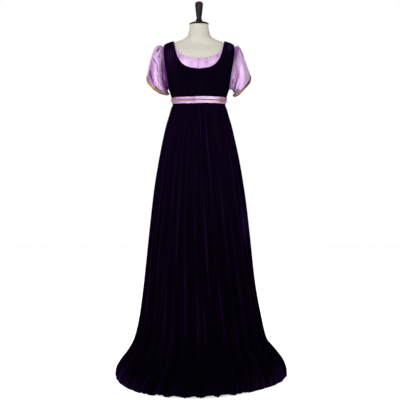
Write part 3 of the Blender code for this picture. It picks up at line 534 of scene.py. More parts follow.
UNDER_BACK_CREASES = table(
    Crease,
    (0.030, 1.352, 0.036, 1.388, 0.006, -0.0006, 0.04),
    (0.062, 1.366, 0.058, 1.396, 0.006, 0.0006, 0.04),
    (0.010, 1.350, 0.020, 1.380, 0.005, 0.0005, -0.04),
    (0.086, 1.392, 0.078, 1.412, 0.006, -0.0006, 0.03),
)
SASH_CREASES = table(
    Crease,
    (-255, -0.004, -236, 0.006, 0.0022, -0.0005, 0.04),
    (-258, 0.007, -228, -0.002, 0.0026, 0.0004, 0.04),
    (92, 0.008, 58, 0.003, 0.0022, -0.0004, 0.03),
    (88, -0.010, 40, -0.006, 0.0024, 0.0005, 0.03),
    (36, 0.010, 2, 0.004, 0.0024, -0.0004, 0.03),
    (-40, -0.008, -78, 0.006, 0.0026, 0.0004, 0.02),
    (-104, 0.009, -140, -0.004, 0.0026, -0.0004, 0.02),
    (-160, -0.009, -200, 0.004, 0.0024, 0.0004, 0.03),
)


# Curves and surfaces
def smooth_curve(at, places, values):
    """Values at the places, joined by a monotone cubic, read at any other place."""
    places = np.asarray(places, float)
    values = np.asarray(values, float)
    tail = (1,) * (values.ndim - 1)
    steps = np.diff(places).reshape(-1, *tail)
    slopes = np.diff(values, axis=0) / steps
    tangents = np.empty_like(values)
    tangents[0] = slopes[0]
    tangents[-1] = slopes[-1]
    same_way = slopes[:-1] * slopes[1:] > 0
    safe = np.where(same_way, slopes[:-1] + slopes[1:], 1.0)
    tangents[1:-1] = np.where(same_way, 2 * slopes[:-1] * slopes[1:] / safe, 0.0)
    at = np.clip(np.asarray(at, float), places[0], places[-1])
    low = np.clip(np.searchsorted(places, at, side="right") - 1, 0, len(places) - 2)
    step = steps[low]
    t = (at - places[low]).reshape(at.shape + tail) / step
    start = (1 + 2 * t) * (1 - t) ** 2 * values[low] + t * (1 - t) ** 2 * step * tangents[low]
    end = t**2 * (3 - 2 * t) * values[low + 1] + t**2 * (t - 1) * step * tangents[low + 1]
    return start + end


def column(rows, field):
    return [getattr(row, field) for row in rows]


def unit(vectors):
    return vectors / np.maximum(np.linalg.norm(vectors, axis=-1, keepdims=True), 1e-12)


def ease(t):
    t = np.clip(t, 0.0, 1.0)
    return t * t * (3 - 2 * t)


def rounded(value, power):
    return np.sign(value) * np.abs(value) ** power


def running_length(points):
    steps = np.linalg.norm(np.diff(points, axis=0), axis=-1)
    return np.concatenate([[0.0], np.cumsum(steps)])


def resampled(line, step):
    """The line again, with points at even steps along it."""
    length = running_length(line)
    count = max(int(length[-1] / step), 2)
    return smooth_curve(np.linspace(0, length[-1], count), length, line)


def eased(value, start, full):
    """Nought up to start, one from full on, and a smooth climb between them."""
    return ease((value - start) / (full - start))


def hill(off, width):
    """One where the offset is nought, dying out on both sides of it over about the width."""
    return np.exp(-((off / width) ** 2))


def lifted(wave):
    """A wave between -1 and 1, moved to lie between 0 and 1."""
    return 0.5 + 0.5 * wave


def at_least(low, share):
    """A share from 0 to 1, squeezed to lie between low and 1."""
    return low + (1 - low) * share


def ripple(at, size, rate, start=0.0):
    """A wave of this size, that turns by rate radians for each step of at."""
    return size * np.sin(rate * at + start)


def stacked(*values):
    """Rows of values side by side, each of them an array or one number for all."""
    return np.stack(np.broadcast_arrays(*values), axis=-1)


CREASE_START = 0.35
CREASE_END = 0.5


def creased(x, y, creases):
    """Height of the creases at each point, faded at their ends."""
    total = np.zeros(np.broadcast(x, y).shape)
    for crease in creases:
        run = np.array([crease.to_x - crease.from_x, crease.to_y - crease.from_y])
        length = np.hypot(*run)
        t = ((x - crease.from_x) * run[0] + (y - crease.from_y) * run[1]) / length**2
        off = ((x - crease.from_x) * run[1] - (y - crease.from_y) * run[0]) / length
        off = off + crease.bend * length * np.sin(np.pi * np.clip(t, 0, 1))
        fade = ease(t / CREASE_START) * ease((1 - t) / CREASE_END)
        total += crease.height * hill(off, crease.width) * fade
    return total


def form_size(z):
    """Half width, back and front depth and squareness of the form's section at a height."""
    heights = column(FORM_SECTIONS, "z")
    fields = ("half_width", "back", "front", "square")
    return [smooth_curve(z, heights, column(FORM_SECTIONS, field)) for field in fields]


def form_point(angle, z):
    """A point on the form: angle in radians from +X towards the back."""
    half_width, back, front, square = form_size(z)
    depth = np.where(np.sin(angle) > 0, back, front)
    x = half_width * rounded(np.cos(angle), 2 / square)
    y = depth * rounded(np.sin(angle), 2 / square)
    return stacked(x, y, z)


def form_normal(angle, z):
    small = 1e-4
    around = form_point(angle + small, z) - form_point(angle - small, z)
    up = form_point(angle, z + small) - form_point(angle, z - small)
    return unit(np.cross(around, up))


def over_form(angle, z, lift):
    """A point that lies off the form by lift, a little less on the shoulder that carries it."""
    angle, z, lift = np.broadcast_arrays(np.asarray(angle, float), np.asarray(z, float), lift)
    drop = SHOULDER_DROP * eased(z, SHOULDER_DROP_FROM, SHOULDER_DROP_FULL)
    return form_point(angle, z) + form_normal(angle, z) * np.expand_dims(lift - drop, -1)


def angle_at_x(x, z):
    half_width, _, _, square = form_size(z)
    return np.arccos(np.clip(np.asarray(x) / half_width, 0, 1) ** (square / 2))


def angle_at_y(y, z):
    _, back, _, square = form_size(z)
    return np.arcsin(np.clip(np.asarray(y) / back, 0, 1) ** (square / 2))


def along(angle, z, shares):
    """Angles and heights at even shares of the length of a dense line over the form."""
    length = running_length(over_form(angle, z, UNDER_LIFT))
    at = np.asarray(shares) * length[-1]
    return np.interp(at, length, angle), np.interp(at, length, z)


# Meshes
def quads_of(rows, columns, first=0, closed=False):
    """Four corners of each face of a grid of points, round again to its first column if closed."""
    index = first + np.arange(rows * columns).reshape(rows, columns)
    if closed:
        index = np.concatenate([index, index[:, :1]], axis=1)
    return stacked(index[:-1, :-1], index[:-1, 1:], index[1:, 1:], index[1:, :-1]).reshape(-1, 4)


def tube_faces(rows, columns):
    """Faces of a tube's grid, and the fans that close its ends from two more points."""
    count, last = rows * columns, (rows - 1) * columns
    after = [*range(1, columns), 0]
    fans = [[count, after[j], j] for j in range(columns)]
    fans += [[count + 1, last + j, last + after[j]] for j in range(columns)]
    return quads_of(rows, columns, closed=True), fans


def add_mesh(name, points, faces, material, cloth=None):
    """A smooth mesh object. Cloth is each point's place on the flat cloth and the cloth's level there."""
    mesh = bpy.data.meshes.new(name)
    mesh.from_pydata(np.asarray(points).tolist(), [], [list(face) for face in faces])
    mesh.materials.append(material)
    mesh.shade_smooth()
    if cloth is not None:
        layer = mesh.attributes.new("cloth", "FLOAT_VECTOR", "POINT")
        layer.data.foreach_set("vector", np.asarray(cloth, np.float32).ravel())
    obj = bpy.data.objects.new(name, mesh)
    bpy.context.scene.collection.objects.link(obj)
    return obj


def facing_out(points, faces, outward):
    """The faces, turned round if most of them face away from outward."""
    corner = points[faces]
    normal = np.cross(corner[:, 1] - corner[:, 0], corner[:, 3] - corner[:, 0])
    towards = np.sum(normal * outward[faces[:, 0]])
    return faces if towards > 0 else faces[:, ::-1]


# Outer points that agree to a micrometre are one
STEPS_A_METRE = 1e6


def add_cloth(name, patches, material):
    """A closed thin shell from (inner, outer, cloth) grids, joined where their outer points meet.

    Its rim is rounded by a line of points halfway through the cloth.
    """
    parts = [[], [], []]
    faces = []
    first = 0
    for patch in patches:
        rows, columns = patch[1].shape[:2]
        faces.append(quads_of(rows, columns, first))
        first += rows * columns
        for part, grid in zip(parts, patch):
            part.append(grid.reshape(-1, 3))
    inner, outer, cloth = (np.concatenate(part) for part in parts)
    spots = np.round(outer * STEPS_A_METRE)
    _, kept, number = np.unique(spots, axis=0, return_index=True, return_inverse=True)
    inner, outer, cloth = inner[kept], outer[kept], cloth[kept]
    faces = number.ravel()[np.concatenate(faces)]
    faces = facing_out(outer, faces, outer - inner)
    count = len(outer)
    sides = np.concatenate([faces[:, [i, (i + 1) % 4]] for i in range(4)])
    rim = sides[~np.isin(sides[:, 0] * count + sides[:, 1], sides[:, 1] * count + sides[:, 0])]
    a, b = rim[:, 0], rim[:, 1]
    through = outer - inner
    away = unit(np.cross(unit(outer[b] - outer[a]), unit(through[a] + through[b])))
    push = np.zeros_like(outer)
    np.add.at(push, a, away)
    np.add.at(push, b, away)
    used = np.unique(rim)
    halfway = np.zeros(count, int)
    halfway[used] = 2 * count + np.arange(len(used))
    thick = np.linalg.norm(through[used], axis=-1, keepdims=True)
    middle = (outer[used] + inner[used]) / 2 + unit(push[used]) * thick / 2
    points = np.concatenate([outer, inner, middle])
    points[:, 2] = np.maximum(points[:, 2], 0.0)
    rim_out = stacked(b, a, halfway[a], halfway[b])
    rim_in = stacked(halfway[b], halfway[a], a + count, b + count)
    faces = np.concatenate([faces, faces[:, ::-1] + count, rim_out, rim_in])
    return add_mesh(name, points, faces, material, np.concatenate([cloth, cloth, cloth[used]]))


MIRROR = np.array([-1.0, 1.0, 1.0])


def mirrored(grids):
    """Inner, outer and cloth grids on the other side of the dress."""
    return [grid[:, ::-1] * MIRROR for grid in grids]


STEEP = 0.9


def ways_across(line):
    """Two directions square to the line and to each other, at each of its points."""
    ahead = unit(np.gradient(line, axis=0))
    up = np.where(np.abs(ahead[:, 2:3]) > STEEP, [[1.0, 0.0, 0.0]], [[0.0, 0.0, 1.0]])
    across = unit(np.cross(ahead, up))
    return across, np.cross(across, ahead)


def tube_parts(line, radius, sides):
    """Points, faces and cloth places of a closed round tube along a line."""
    radius = np.broadcast_to(radius, len(line))
    across, over = ways_across(line)
    turn = np.linspace(0, math.tau, sides, endpoint=False)
    ring = across[:, None] * np.cos(turn)[None, :, None] + over[:, None] * np.sin(turn)[None, :, None]
    points = line[:, None] + ring * radius[:, None, None]
    length = running_length(line)
    cloth = stacked(length[:, None], turn * radius[:, None], 0.0)
    quads, fans = tube_faces(len(line), sides)
    all_points = np.concatenate([points.reshape(-1, 3), line[[0, -1]]])
    all_cloth = np.concatenate([cloth.reshape(-1, 3), [[0.0, 0.0, 0.0], [length[-1], 0.0, 0.0]]])
    return all_points, quads[:, ::-1].tolist() + fans, all_cloth


def add_joined(name, parts, material):
    """One mesh from several (points, faces, cloth) parts."""
    points, faces, cloth = [], [], []
    first = 0
    for part_points, part_faces, part_cloth in parts:
        points.append(part_points)
        cloth.append(part_cloth)
        faces += [[first + corner for corner in face] for face in part_faces]
        first += len(part_points)
    return add_mesh(name, np.concatenate(points), faces, material, np.concatenate(cloth))


STRANDS = 2
STEPS_A_PITCH = 9
STRAND_SPREAD = 1.04


def twisted(line, radius, pitch, sides):
    """Two round strands twisted round each other along a line."""
    line = resampled(line, pitch / STEPS_A_PITCH)
    across, over = ways_across(line)
    turn = running_length(line) / pitch * math.tau
    strand_radius = radius / STRANDS
    parts = []
    for k in range(STRANDS):
        phase = turn + math.tau * k / STRANDS
        out = across * np.cos(phase)[:, None] + over * np.sin(phase)[:, None]
        parts.append(tube_parts(line + strand_radius * out, strand_radius * STRAND_SPREAD, sides))
    return parts


def place(obj, slot, *nodes):
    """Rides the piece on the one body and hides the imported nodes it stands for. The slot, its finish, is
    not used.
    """
    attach(obj, "root")
    if nodes:
        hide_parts(*nodes)
    return obj


# Materials
def fill(tree, socket, value):
    """Sets a socket to a number or a colour, or joins another node's output to it."""
    if isinstance(value, bpy.types.NodeSocket):
        tree.links.new(value, socket)
    else:
        socket.default_value = value


def add_node(tree, kind, settings=None, **values):
    """A shader node. A value is a number, a colour or another node's output."""
    made = tree.nodes.new(kind)
    for key, value in (settings or {}).items():
        setattr(made, key, value)
    for key, value in values.items():
        fill(tree, made.inputs[key.replace("_", " ")], value)
    return made


def new_finish(name):
    """A new material and its node tree."""
    made = bpy.data.materials.new(name)
    made.use_nodes = True
    return made, made.node_tree


def cloth_place(tree, scale):
    """The flat cloth's coordinates, stretched by the scale along each way."""
    source = add_node(tree, "ShaderNodeAttribute", {"attribute_name": "cloth"})
    moved = add_node(tree, "ShaderNodeMapping", Vector=source.outputs["Vector"], Scale=scale)
    return moved.outputs["Vector"]


def object_place(tree, scale):
    source = add_node(tree, "ShaderNodeTexCoord")
    moved = add_node(tree, "ShaderNodeMapping", Vector=source.outputs["Object"], Scale=scale)
    return moved.outputs["Vector"]


def dressed(made, **values):
    """The material with its shader's sockets set or joined."""
    shader = made.node_tree.nodes["Principled BSDF"]
    for key, value in values.items():
        fill(made.node_tree, shader.inputs[key.replace("_", " ")], value)
    return made


def noise(tree, vector, scale, detail, roughness):
    settings = {"Scale": scale, "Detail": detail, "Roughness": roughness}
    return add_node(tree, "ShaderNodeTexNoise", Vector=vector, **settings).outputs[0]


def cloth_noise(tree, across, along_it, detail, roughness):
    """Noise on the flat cloth, stretched by one scale across it and another along it."""
    return noise(tree, cloth_place(tree, (across, along_it, 0.0)), 1.0, detail, roughness)


def even_noise(tree, scale, detail, roughness):
    return noise(tree, object_place(tree, (1.0, 1.0, 1.0)), scale, detail, roughness)


def waves(tree, scale, direction, distortion):
    """Fine bands on the flat cloth."""
    settings = {"wave_type": "BANDS", "bands_direction": direction}
    vector = cloth_place(tree, (1.0, 1.0, 0.0))
    made = add_node(tree, "ShaderNodeTexWave", settings, Vector=vector, Scale=scale, Distortion=distortion)
    return made.outputs["Fac"]


def math_node(tree, operation, first, second):
    made = add_node(tree, "ShaderNodeMath", {"operation": operation})
    fill(tree, made.inputs[0], first)
    fill(tree, made.inputs[1], second)
    return made.outputs[0]


def colours(tree, factor, *stops):
    """A colour ramp from (position, colour) stops."""
    made = add_node(tree, "ShaderNodeValToRGB", Fac=factor)
    ramp = made.color_ramp
    while len(ramp.elements) < len(stops):
        ramp.elements.new(0.5)
    for element, (position, colour) in zip(ramp.elements, stops):
        element.position = position
        element.color = (*colour, 1.0)
    return made.outputs["Color"]


def spread_values(tree, factor, low, high):
    made = add_node(tree, "ShaderNodeMapRange", Value=factor, To_Min=low, To_Max=high)
    return made.outputs[0]


def blended(tree, first, second, share):
    """The first value by its share added to the second by the rest."""
    parts = ((first, share), (second, 1 - share))
    return math_node(tree, "ADD", *(math_node(tree, "MULTIPLY", *part) for part in parts))


# Which sockets of a mix node carry colours
MIX_FIRST = 6
MIX_SECOND = 7
MIX_RESULT = 2


def mixed(tree, factor, first, second):
    """A colour from the first at a factor of nought to the second at one."""
    made = add_node(tree, "ShaderNodeMix", {"data_type": "RGBA"}, Factor=factor)
    fill(tree, made.inputs[MIX_FIRST], first)
    fill(tree, made.inputs[MIX_SECOND], second)
    return made.outputs[MIX_RESULT]


def bumped(tree, height, distance, strength, under=None):
    values = {} if under is None else {"Normal": under}
    made = add_node(tree, "ShaderNodeBump", Height=height, Distance=distance, Strength=strength, **values)
    return made.outputs["Normal"]


# The pile's colour at four levels, from the darkest, crushed or in painted shade, to the palest, brushed up
# or in painted highlight, in its bluer and its redder patches
PILE_LEVELS = (0.06, 0.30, 0.62, 1.00)
BLUER_PILE = (
    (0.0006, 0.0005, 0.0014),
    (0.0017, 0.0007, 0.0040),
    (0.0050, 0.0017, 0.0140),
    (0.0180, 0.0085, 0.0440),
)
REDDER_PILE = (
    (0.0008, 0.0004, 0.0012),
    (0.0027, 0.0006, 0.0040),
    (0.0078, 0.0018, 0.0115),
    (0.0240, 0.0100, 0.0340),
)


def velvet_finish():
    """Near-black purple pile: crushed patches, a vertical nap and a purple sheen at grazing angles; the
    mesh's level adds painted highlight and shade.
    """
    made, tree = new_finish("velvet")
    crush = cloth_noise(tree, 14.0, 2.6, 4.0, 0.6)
    nap = cloth_noise(tree, 150.0, 6.0, 4.0, 0.65)
    pile = cloth_noise(tree, 1500.0, 1500.0, 2.0, 0.7)
    hue = noise(tree, cloth_place(tree, (11.0, 2.0, 0.0)), 1.7, 2.0, 0.5)
    both = swung(tree, cloth_level(tree), (crush, 0.45), (nap, 0.62))
    blue, red = [colours(tree, both, *zip(PILE_LEVELS, pile)) for pile in (BLUER_PILE, REDDER_PILE)]
    swing = add_node(tree, "ShaderNodeMapRange", Value=hue, From_Min=0.47, From_Max=0.68)
    return dressed(
        made,
        Metallic=0.0,
        Specular_IOR_Level=0.0,
        Sheen_Weight=0.055,
        Sheen_Roughness=0.30,
        Sheen_Tint=(0.30, 0.07, 0.90, 1.0),
        Base_Color=mixed(tree, swing.outputs[0], blue, red),
        Roughness=spread_values(tree, nap, 0.72, 0.98),
        Normal=bumped(tree, pile, 0.0005, 0.8, bumped(tree, nap, 0.0006, 0.5)),
    )


def swung(tree, level, *swings):
    """The level with each noise added to it, where a noise of a half changes nothing."""
    for value, gain in swings:
        swing = math_node(tree, "MULTIPLY", math_node(tree, "SUBTRACT", value, 0.5), gain)
        level = math_node(tree, "ADD", level, swing)
    return level


def cloth_level(tree):
    """The cloth layer's third value: the level of the velvet and the satin, with painted highlight and shade
    in it, or how far the thread is darkened by wear and by painted shade.
    """
    source = add_node(tree, "ShaderNodeAttribute", {"attribute_name": "cloth"})
    return add_node(tree, "ShaderNodeSeparateXYZ", Vector=source.outputs["Vector"]).outputs["Z"]


def satin_finish():
    """Lavender satin: painted shade, deep purple, in its troughs and where it turns from view, and a painted
    highlight, pale, on its ridges.
    """
    made, tree = new_finish("satin")
    cloud = cloth_noise(tree, 16.0, 10.0, 3.0, 0.5)
    wrinkle = cloth_noise(tree, 95.0, 38.0, 3.0, 0.6)
    slub = cloth_noise(tree, 2600.0, 90.0, 2.0, 0.6)
    facing = add_node(tree, "ShaderNodeLayerWeight", Blend=0.5).outputs["Facing"]
    # Painted shade where the satin turns from view
    turned_shade = math_node(tree, "MULTIPLY", math_node(tree, "POWER", facing, 2.0), 0.30)
    level = math_node(tree, "SUBTRACT", cloth_level(tree), turned_shade)
    # The cloud and wrinkle noises also bump the satin: their swing of the level is painted highlight on the
    # raised parts and painted shade in the dips
    shade = colours(
        tree,
        swung(tree, level, (cloud, 0.22), (wrinkle, 0.36), (slub, 0.10)),
        (0.08, (0.150, 0.032, 0.175)),
        (0.34, (0.350, 0.150, 0.385)),
        (0.60, (0.580, 0.365, 0.630)),
        (0.82, (0.700, 0.510, 0.745)),
        (1.00, (0.880, 0.730, 0.900)),
    )
    ribbed = bumped(tree, waves(tree, 900.0, "X", 0.6), 0.00004, 0.5)
    creped = bumped(tree, wrinkle, 0.0012, 0.6, ribbed)
    return dressed(
        made,
        Metallic=0.25,
        Specular_IOR_Level=0.12,
        Specular_Tint=(0.88, 0.60, 0.95, 1.0),
        Anisotropic=0.4,
        Base_Color=shade,
        Roughness=spread_values(tree, slub, 0.28, 0.42),
        Normal=bumped(tree, slub, 0.00008, 0.4, bumped(tree, cloud, 0.0016, 0.5, creped)),
    )


# Dull brown for the thread: painted shade at the sleeve trims' underarm ends, and wear on the sash's plait
THREAD_WEAR_AND_SHADE = (0.075, 0.022, 0.020)

# Each thread's colour in its hollows, which is painted shade, and on its plies, how metallic it is and how
# rough
THREADS = {
    "gold_thread": ((0.20, 0.115, 0.035), (0.60, 0.44, 0.15), 0.45, 0.42),
    "copper_thread": ((0.22, 0.10, 0.07), (0.60, 0.38, 0.24), 0.30, 0.42),
    "coral_thread": ((0.22, 0.055, 0.065), (0.43, 0.150, 0.130), 0.0, 0.5),
    "purple_thread": ((0.18, 0.075, 0.20), (0.40, 0.200, 0.42), 0.0, 0.5),
}


def thread_finish(name, deep, pale, metallic, roughness):
    """Twisted thread: slanting plies with painted shade in the hollows between them, and a dull brown where
    the level asks: painted shade at the sleeve trims' underarm ends, wear on the sash's plait.
    """
    made, tree = new_finish(name)
    ply = waves(tree, 420.0, "DIAGONAL", 0.8)
    tarnish = even_noise(tree, 60.0, 4.0, 0.6)
    # Painted shade in the hollows between the plies, mixed with random tarnish
    shade = colours(tree, blended(tree, ply, tarnish, 0.4), (0.25, deep), (0.62, pale))
    return dressed(
        made,
        Metallic=metallic,
        Specular_IOR_Level=0.5,
        Sheen_Weight=0.06,
        Sheen_Roughness=0.4,
        Base_Color=mixed(tree, cloth_level(tree), shade, (*THREAD_WEAR_AND_SHADE, 1.0)),
        Roughness=spread_values(tree, tarnish, roughness + 0.12, roughness - 0.06),
        Normal=bumped(tree, ply, 0.00025, 0.7),
    )


def linen_finish():
    """Natural linen stretched over the form: plain weave with slubs both ways."""
    made, tree = new_finish("linen")
    weave = math_node(tree, "MULTIPLY", waves(tree, 260.0, "X", 1.2), waves(tree, 240.0, "Y", 1.2))
    slubs = [cloth_noise(tree, *way, 3.0, 0.6) for way in ((900.0, 40.0), (40.0, 900.0))]
    slub = blended(tree, *slubs, 0.5)
    both = blended(tree, slub, cloth_noise(tree, 7.0, 7.0, 3.0, 0.5), 0.7)
    return dressed(
        made,
        Metallic=0.0,
        Specular_IOR_Level=0.25,
        Sheen_Weight=0.10,
        Sheen_Roughness=0.5,
        Base_Color=colours(tree, both, (0.36, (0.50, 0.465, 0.395)), (0.64, (0.66, 0.630, 0.560))),
        Roughness=spread_values(tree, slub, 0.80, 0.96),
        Normal=bumped(tree, weave, 0.0003, 0.7, bumped(tree, slub, 0.0003, 0.5)),
    )


def lacquer_finish():
    """Black lacquered wood: faint grain under a soft gloss, worn a little brown."""
    made, tree = new_finish("black_lacquer")
    grain = noise(tree, object_place(tree, (90.0, 90.0, 6.0)), 1.0, 4.0, 0.6)
    both = blended(tree, grain, even_noise(tree, 38.0, 4.0, 0.65), 0.5)
    return dressed(
        made,
        Metallic=0.0,
        Specular_IOR_Level=0.10,
        Coat_Weight=0.06,
        Coat_Roughness=0.12,
        Base_Color=colours(tree, both, (0.40, (0.003, 0.0025, 0.003)), (0.66, (0.030, 0.017, 0.013))),
        Roughness=spread_values(tree, grain, 0.30, 0.48),
        Normal=bumped(tree, grain, 0.0002, 0.4),
    )


def iron_finish():
    """Black painted iron with a fine orange-peel and scuffed patches."""
    made, tree = new_finish("black_iron")
    scuff = even_noise(tree, 24.0, 5.0, 0.7)
    return dressed(
        made,
        Metallic=0.4,
        Specular_IOR_Level=0.5,
        Base_Color=colours(tree, scuff, (0.45, (0.013, 0.013, 0.013)), (0.72, (0.045, 0.043, 0.041))),
        Roughness=spread_values(tree, scuff, 0.40, 0.62),
        Normal=bumped(tree, even_noise(tree, 700.0, 3.0, 0.6), 0.0003, 0.5),
    )


# The velvet skirt
def fold_values(phase):
    """Angle at the waist and at the hem, depth, lean and top of the fold at each place round the skirt."""
    folds = BACK_FOLDS + FRONT_FOLDS
    first, last = folds[0], folds[-1]
    before = last._replace(waist=last.waist - 360, hem=last.hem - 360)
    after = first._replace(waist=first.waist + 360, hem=first.hem + 360)
    ridges = np.arange(-1, len(folds) + 1)
    rows = (before, *folds, after)
    waist, hem, depth, lean, top = [np.interp(phase, ridges, column(rows, f)) for f in Fold._fields]
    return np.radians(waist), np.radians(hem), depth, lean, top


def station_ring(station, angle):
    """The valley line of the skirt at one station. The train's shift eases off at the very back."""
    sine = np.sin(angle)
    depth = np.where(sine > 0, station.back, station.front)
    end_z = np.where(sine > 0, station.back_z, station.front_z)
    x = station.side * rounded(np.cos(angle), 2 / station.square)
    behind = np.maximum(sine, 0.0)
    x = x - station.lean + station.shift * behind**3 * (SHIFT_BEHIND - SHIFT_EASED * behind**4)
    y = depth * rounded(sine, 2 / station.square)
    return stacked(x, y, station.side_z + (end_z - station.side_z) * sine**2)


def grid_normals(grid):
    """Outward normals of rows that go down and columns that run from +X round the back."""
    return unit(np.cross(np.gradient(grid, axis=0), np.gradient(grid, axis=1)))


def fine_gathers(phase, z):
    """Height of the small gathers that come out from under the sash, each of its own length."""
    rng = np.random.default_rng(GATHER_SEED)
    count = (len(BACK_FOLDS) + len(FRONT_FOLDS)) * GATHERS_PER_FOLD
    number = np.arange(-GATHERS_PAST_ENDS, count + GATHERS_PAST_ENDS)
    spans = (GATHER_JITTER, GATHER_STRENGTH, GATHER_END)
    jitter, strength, end = [rng.uniform(*span, count)[number % count] for span in spans]
    centre = (number + jitter) / GATHERS_PER_FOLD
    turn, strength, end = [np.interp(phase, centre, values) for values in (number, strength, end)]
    wave = lifted(np.cos(math.tau * turn)) ** GATHER_SHARPNESS
    start = ease((GATHER_START_Z - z) / GATHER_START_RUN)
    fade = 1 - ease((end + GATHER_END_RUN / 2 - z) / GATHER_END_RUN)
    return GATHER_HEIGHT * wave * strength * start * fade


def lesser_ridges(phase, z):
    """Each lesser ridge, how far off its line each point lies, and how full the ridge is there."""
    for ridge in SMALL_RIDGES:
        t = (ridge.top - z) / (ridge.top - ridge.foot)
        centre = ridge.place + ridge.drift * np.clip(t, 0, 1)
        yield ridge, phase - centre, ease(t / RIDGE_START) * ease((RIDGE_END - t) / RIDGE_END_RUN)


def small_ridges(phase, z):
    total = np.zeros(np.broadcast(phase, z).shape)
    for ridge, off, full in lesser_ridges(phase, z):
        total += ridge.height * hill(off, ridge.width) * full
    return total


def hem_tucks(phase, turning):
    """The crumpled rim, from -1 to 1: short tucks of uneven width that lean and die out up the skirt."""
    uneven = math.tau * HEM_TUCKS * phase + ripple(phase, *TUCK_DRIFT) + ripple(phase, *TUCK_JITTER)
    lean = HEM_TUCK_LEAN * turning * ripple(phase, *TUCK_LEANING)
    drift = ripple(phase, *TUCK_STRENGTH_DRIFT)
    strength = at_least(HEM_TUCK_STRENGTH, ripple(phase, 1.0, TUCK_STRENGTH_RATE, drift))
    return strength * np.sin(uneven + lean)


def nap_light_and_shade(phase, z, turning, top, side):
    """The pile's level: painted highlights in thin lines on the ridges and gathers and along the rim, and
    painted shade lower down.
    """
    number = np.round(phase)
    # Painted highlights: thin lines along the crests of the folds and of the lesser ridges
    sway = lifted(ripple(z, 1.0, CREST_SWAY_RATE, CREST_SWAY_STEP * number))
    main = hill(phase - number, CREST_WIDTH) * ease((top + CREST_ABOVE_TOP - z) / CREST_RUN)
    main = main * at_least(CREST_FAINTEST, sway)
    lesser = np.zeros(main.shape)
    for k, (ridge, off, full) in enumerate(lesser_ridges(phase, z)):
        broken = ripple(z, 1.0, LESSER_SWAY_RATE, LESSER_SWAY_STEP * k) ** 2
        full = full * at_least(LESSER_FAINTEST, broken)
        lesser = np.maximum(lesser, hill(off, LESSER_CREST_WIDTH * ridge.width) * full)
    lined = ease((turning - CREST_ABOVE_HEM - CREST_ABOVE_SIDE_HEM * side) / CREST_FOOT_RUN)
    gathers = GATHER_GAIN * (fine_gathers(phase, z) / GATHER_HEIGHT) ** 2
    crest = np.maximum(main, LESSER_CREST * lesser) * lined + gathers
    # Painted shade: the level falls lower down the skirt
    level = NAP_TOP + (NAP_SHADED_LOW - NAP_TOP) * ease((NAP_SHADE_FROM - z) / NAP_SHADE_RUN)
    patch = lifted(ripple(phase, 1.0, PATCH_RATE, ripple(phase, *PATCH_DRIFT) + PATCH_LEAN * turning))
    level = level - FLARE_DULLED * (1 - lined) * patch
    # Painted highlight along the crumpled rim, on its tucks and more at the sides
    wave = ripple(phase, *RIM_HIGHLIGHT_WAVE, ripple(phase, *RIM_HIGHLIGHT_DRIFT))
    highlight_reach = RIM_HIGHLIGHT_REACH * (RIM_HIGHLIGHT_SHARE + wave)
    tucks = lifted(hem_tucks(phase, turning)) ** 2
    rim = ease((highlight_reach - turning) / highlight_reach) * at_least(RIM_BETWEEN_TUCKS, tucks)
    return level + CREST_GAIN * crest + RIM_GAIN * rim * at_least(RIM_AT_BACK, side)


def skirt_grid(phase):
    """Inner, outer and cloth grids for columns at these places round the skirt."""
    waist, hem, depth, lean, top = fold_values(phase)
    full_turn = phase + FOLD_FULLNESS * np.sin(math.tau * phase) / math.tau
    leaning = FOLD_LEAN * lean * lifted(-np.cos(math.tau * (phase + 0.5)))
    moved = fold_values(full_turn + leaning)
    base = [over_form(waist, z, VELVET_LIFT + VELVET) for z in (SKIRT_SEAM_Z, SKIRT_FREE_Z)]
    fold = [0.0, SKIRT_FREE_FOLD]
    for row, station in enumerate(SKIRT_STATIONS):
        share = ease(row / FOLDS_MOVED_BY_ROW)
        from_waist = waist + (moved[0] - waist) * share
        from_hem = hem + (moved[1] - hem) * share
        base.append(station_ring(station, from_waist + (from_hem - from_waist) * station.hem_share))
        fold.append(station.fold)
    base = np.array(base)
    places = np.concatenate([[0.0], np.cumsum(np.linalg.norm(np.diff(base, axis=0), axis=-1).mean(1))])
    at = places[-1] * np.linspace(0, 1, SKIRT_ROWS) ** SKIRT_ROW_SPREAD
    ring = smooth_curve(at, places, base)
    fold = smooth_curve(at, places, np.array(fold))[:, None]
    z = ring[..., 2]
    shallow = at_least(SHALLOW_SHARE, ease((top + SHALLOW_ABOVE_TOP - z) / SHALLOW_RUN))
    wave = lifted(np.cos(math.tau * phase)) ** FOLD_SHARPNESS
    sway = ripple(z, SKIRT_SWAY, SWAY_RATE, SWAY_ROUND * waist) * ease((SWAY_BELOW - z) / SWAY_RUN)
    wall = VELVET * ease((SKIRT_FREE_Z - z) / SKIRT_WALL_RUN)
    turning = (at[-1] - at)[:, None]
    side = ease((np.abs(ring[..., 0]) - SIDE_FROM) / SIDE_RUN)
    tuck_depth = HEM_TUCK_DEPTH + (SIDE_TUCK_DEPTH - HEM_TUCK_DEPTH) * side
    tucks = tuck_depth * hem_tucks(phase, turning) * ease(1 - turning / HEM_TUCK_RUN)
    ridges = small_ridges(phase, z) * ease(z / RIDGES_OFF_FLOOR)
    height = fold * wave * depth * shallow + ridges + sway + wall + tucks
    folded = ring + grid_normals(ring) * height[..., None]
    fine = fine_gathers(phase, z) - HEM_LINE_DEPTH * hill(turning - HEM_TURNING, HEM_LINE_WIDTH)
    outer = folded + grid_normals(folded) * fine[..., None]
    outer[0, :, 2] = SKIRT_SEAM_Z
    outer[..., 2] = np.maximum(outer[..., 2], SHELL_WALL)
    inner = outer - grid_normals(outer) * SHELL_WALL
    inner[0, :, 2] = SKIRT_SEAM_Z
    inner[..., 2] = np.maximum(inner[..., 2], 0.0)
    cloth = stacked(phase * FOLD_ON_CLOTH, -at[:, None], nap_light_and_shade(phase, z, turning, top, side))
    return inner, outer, cloth


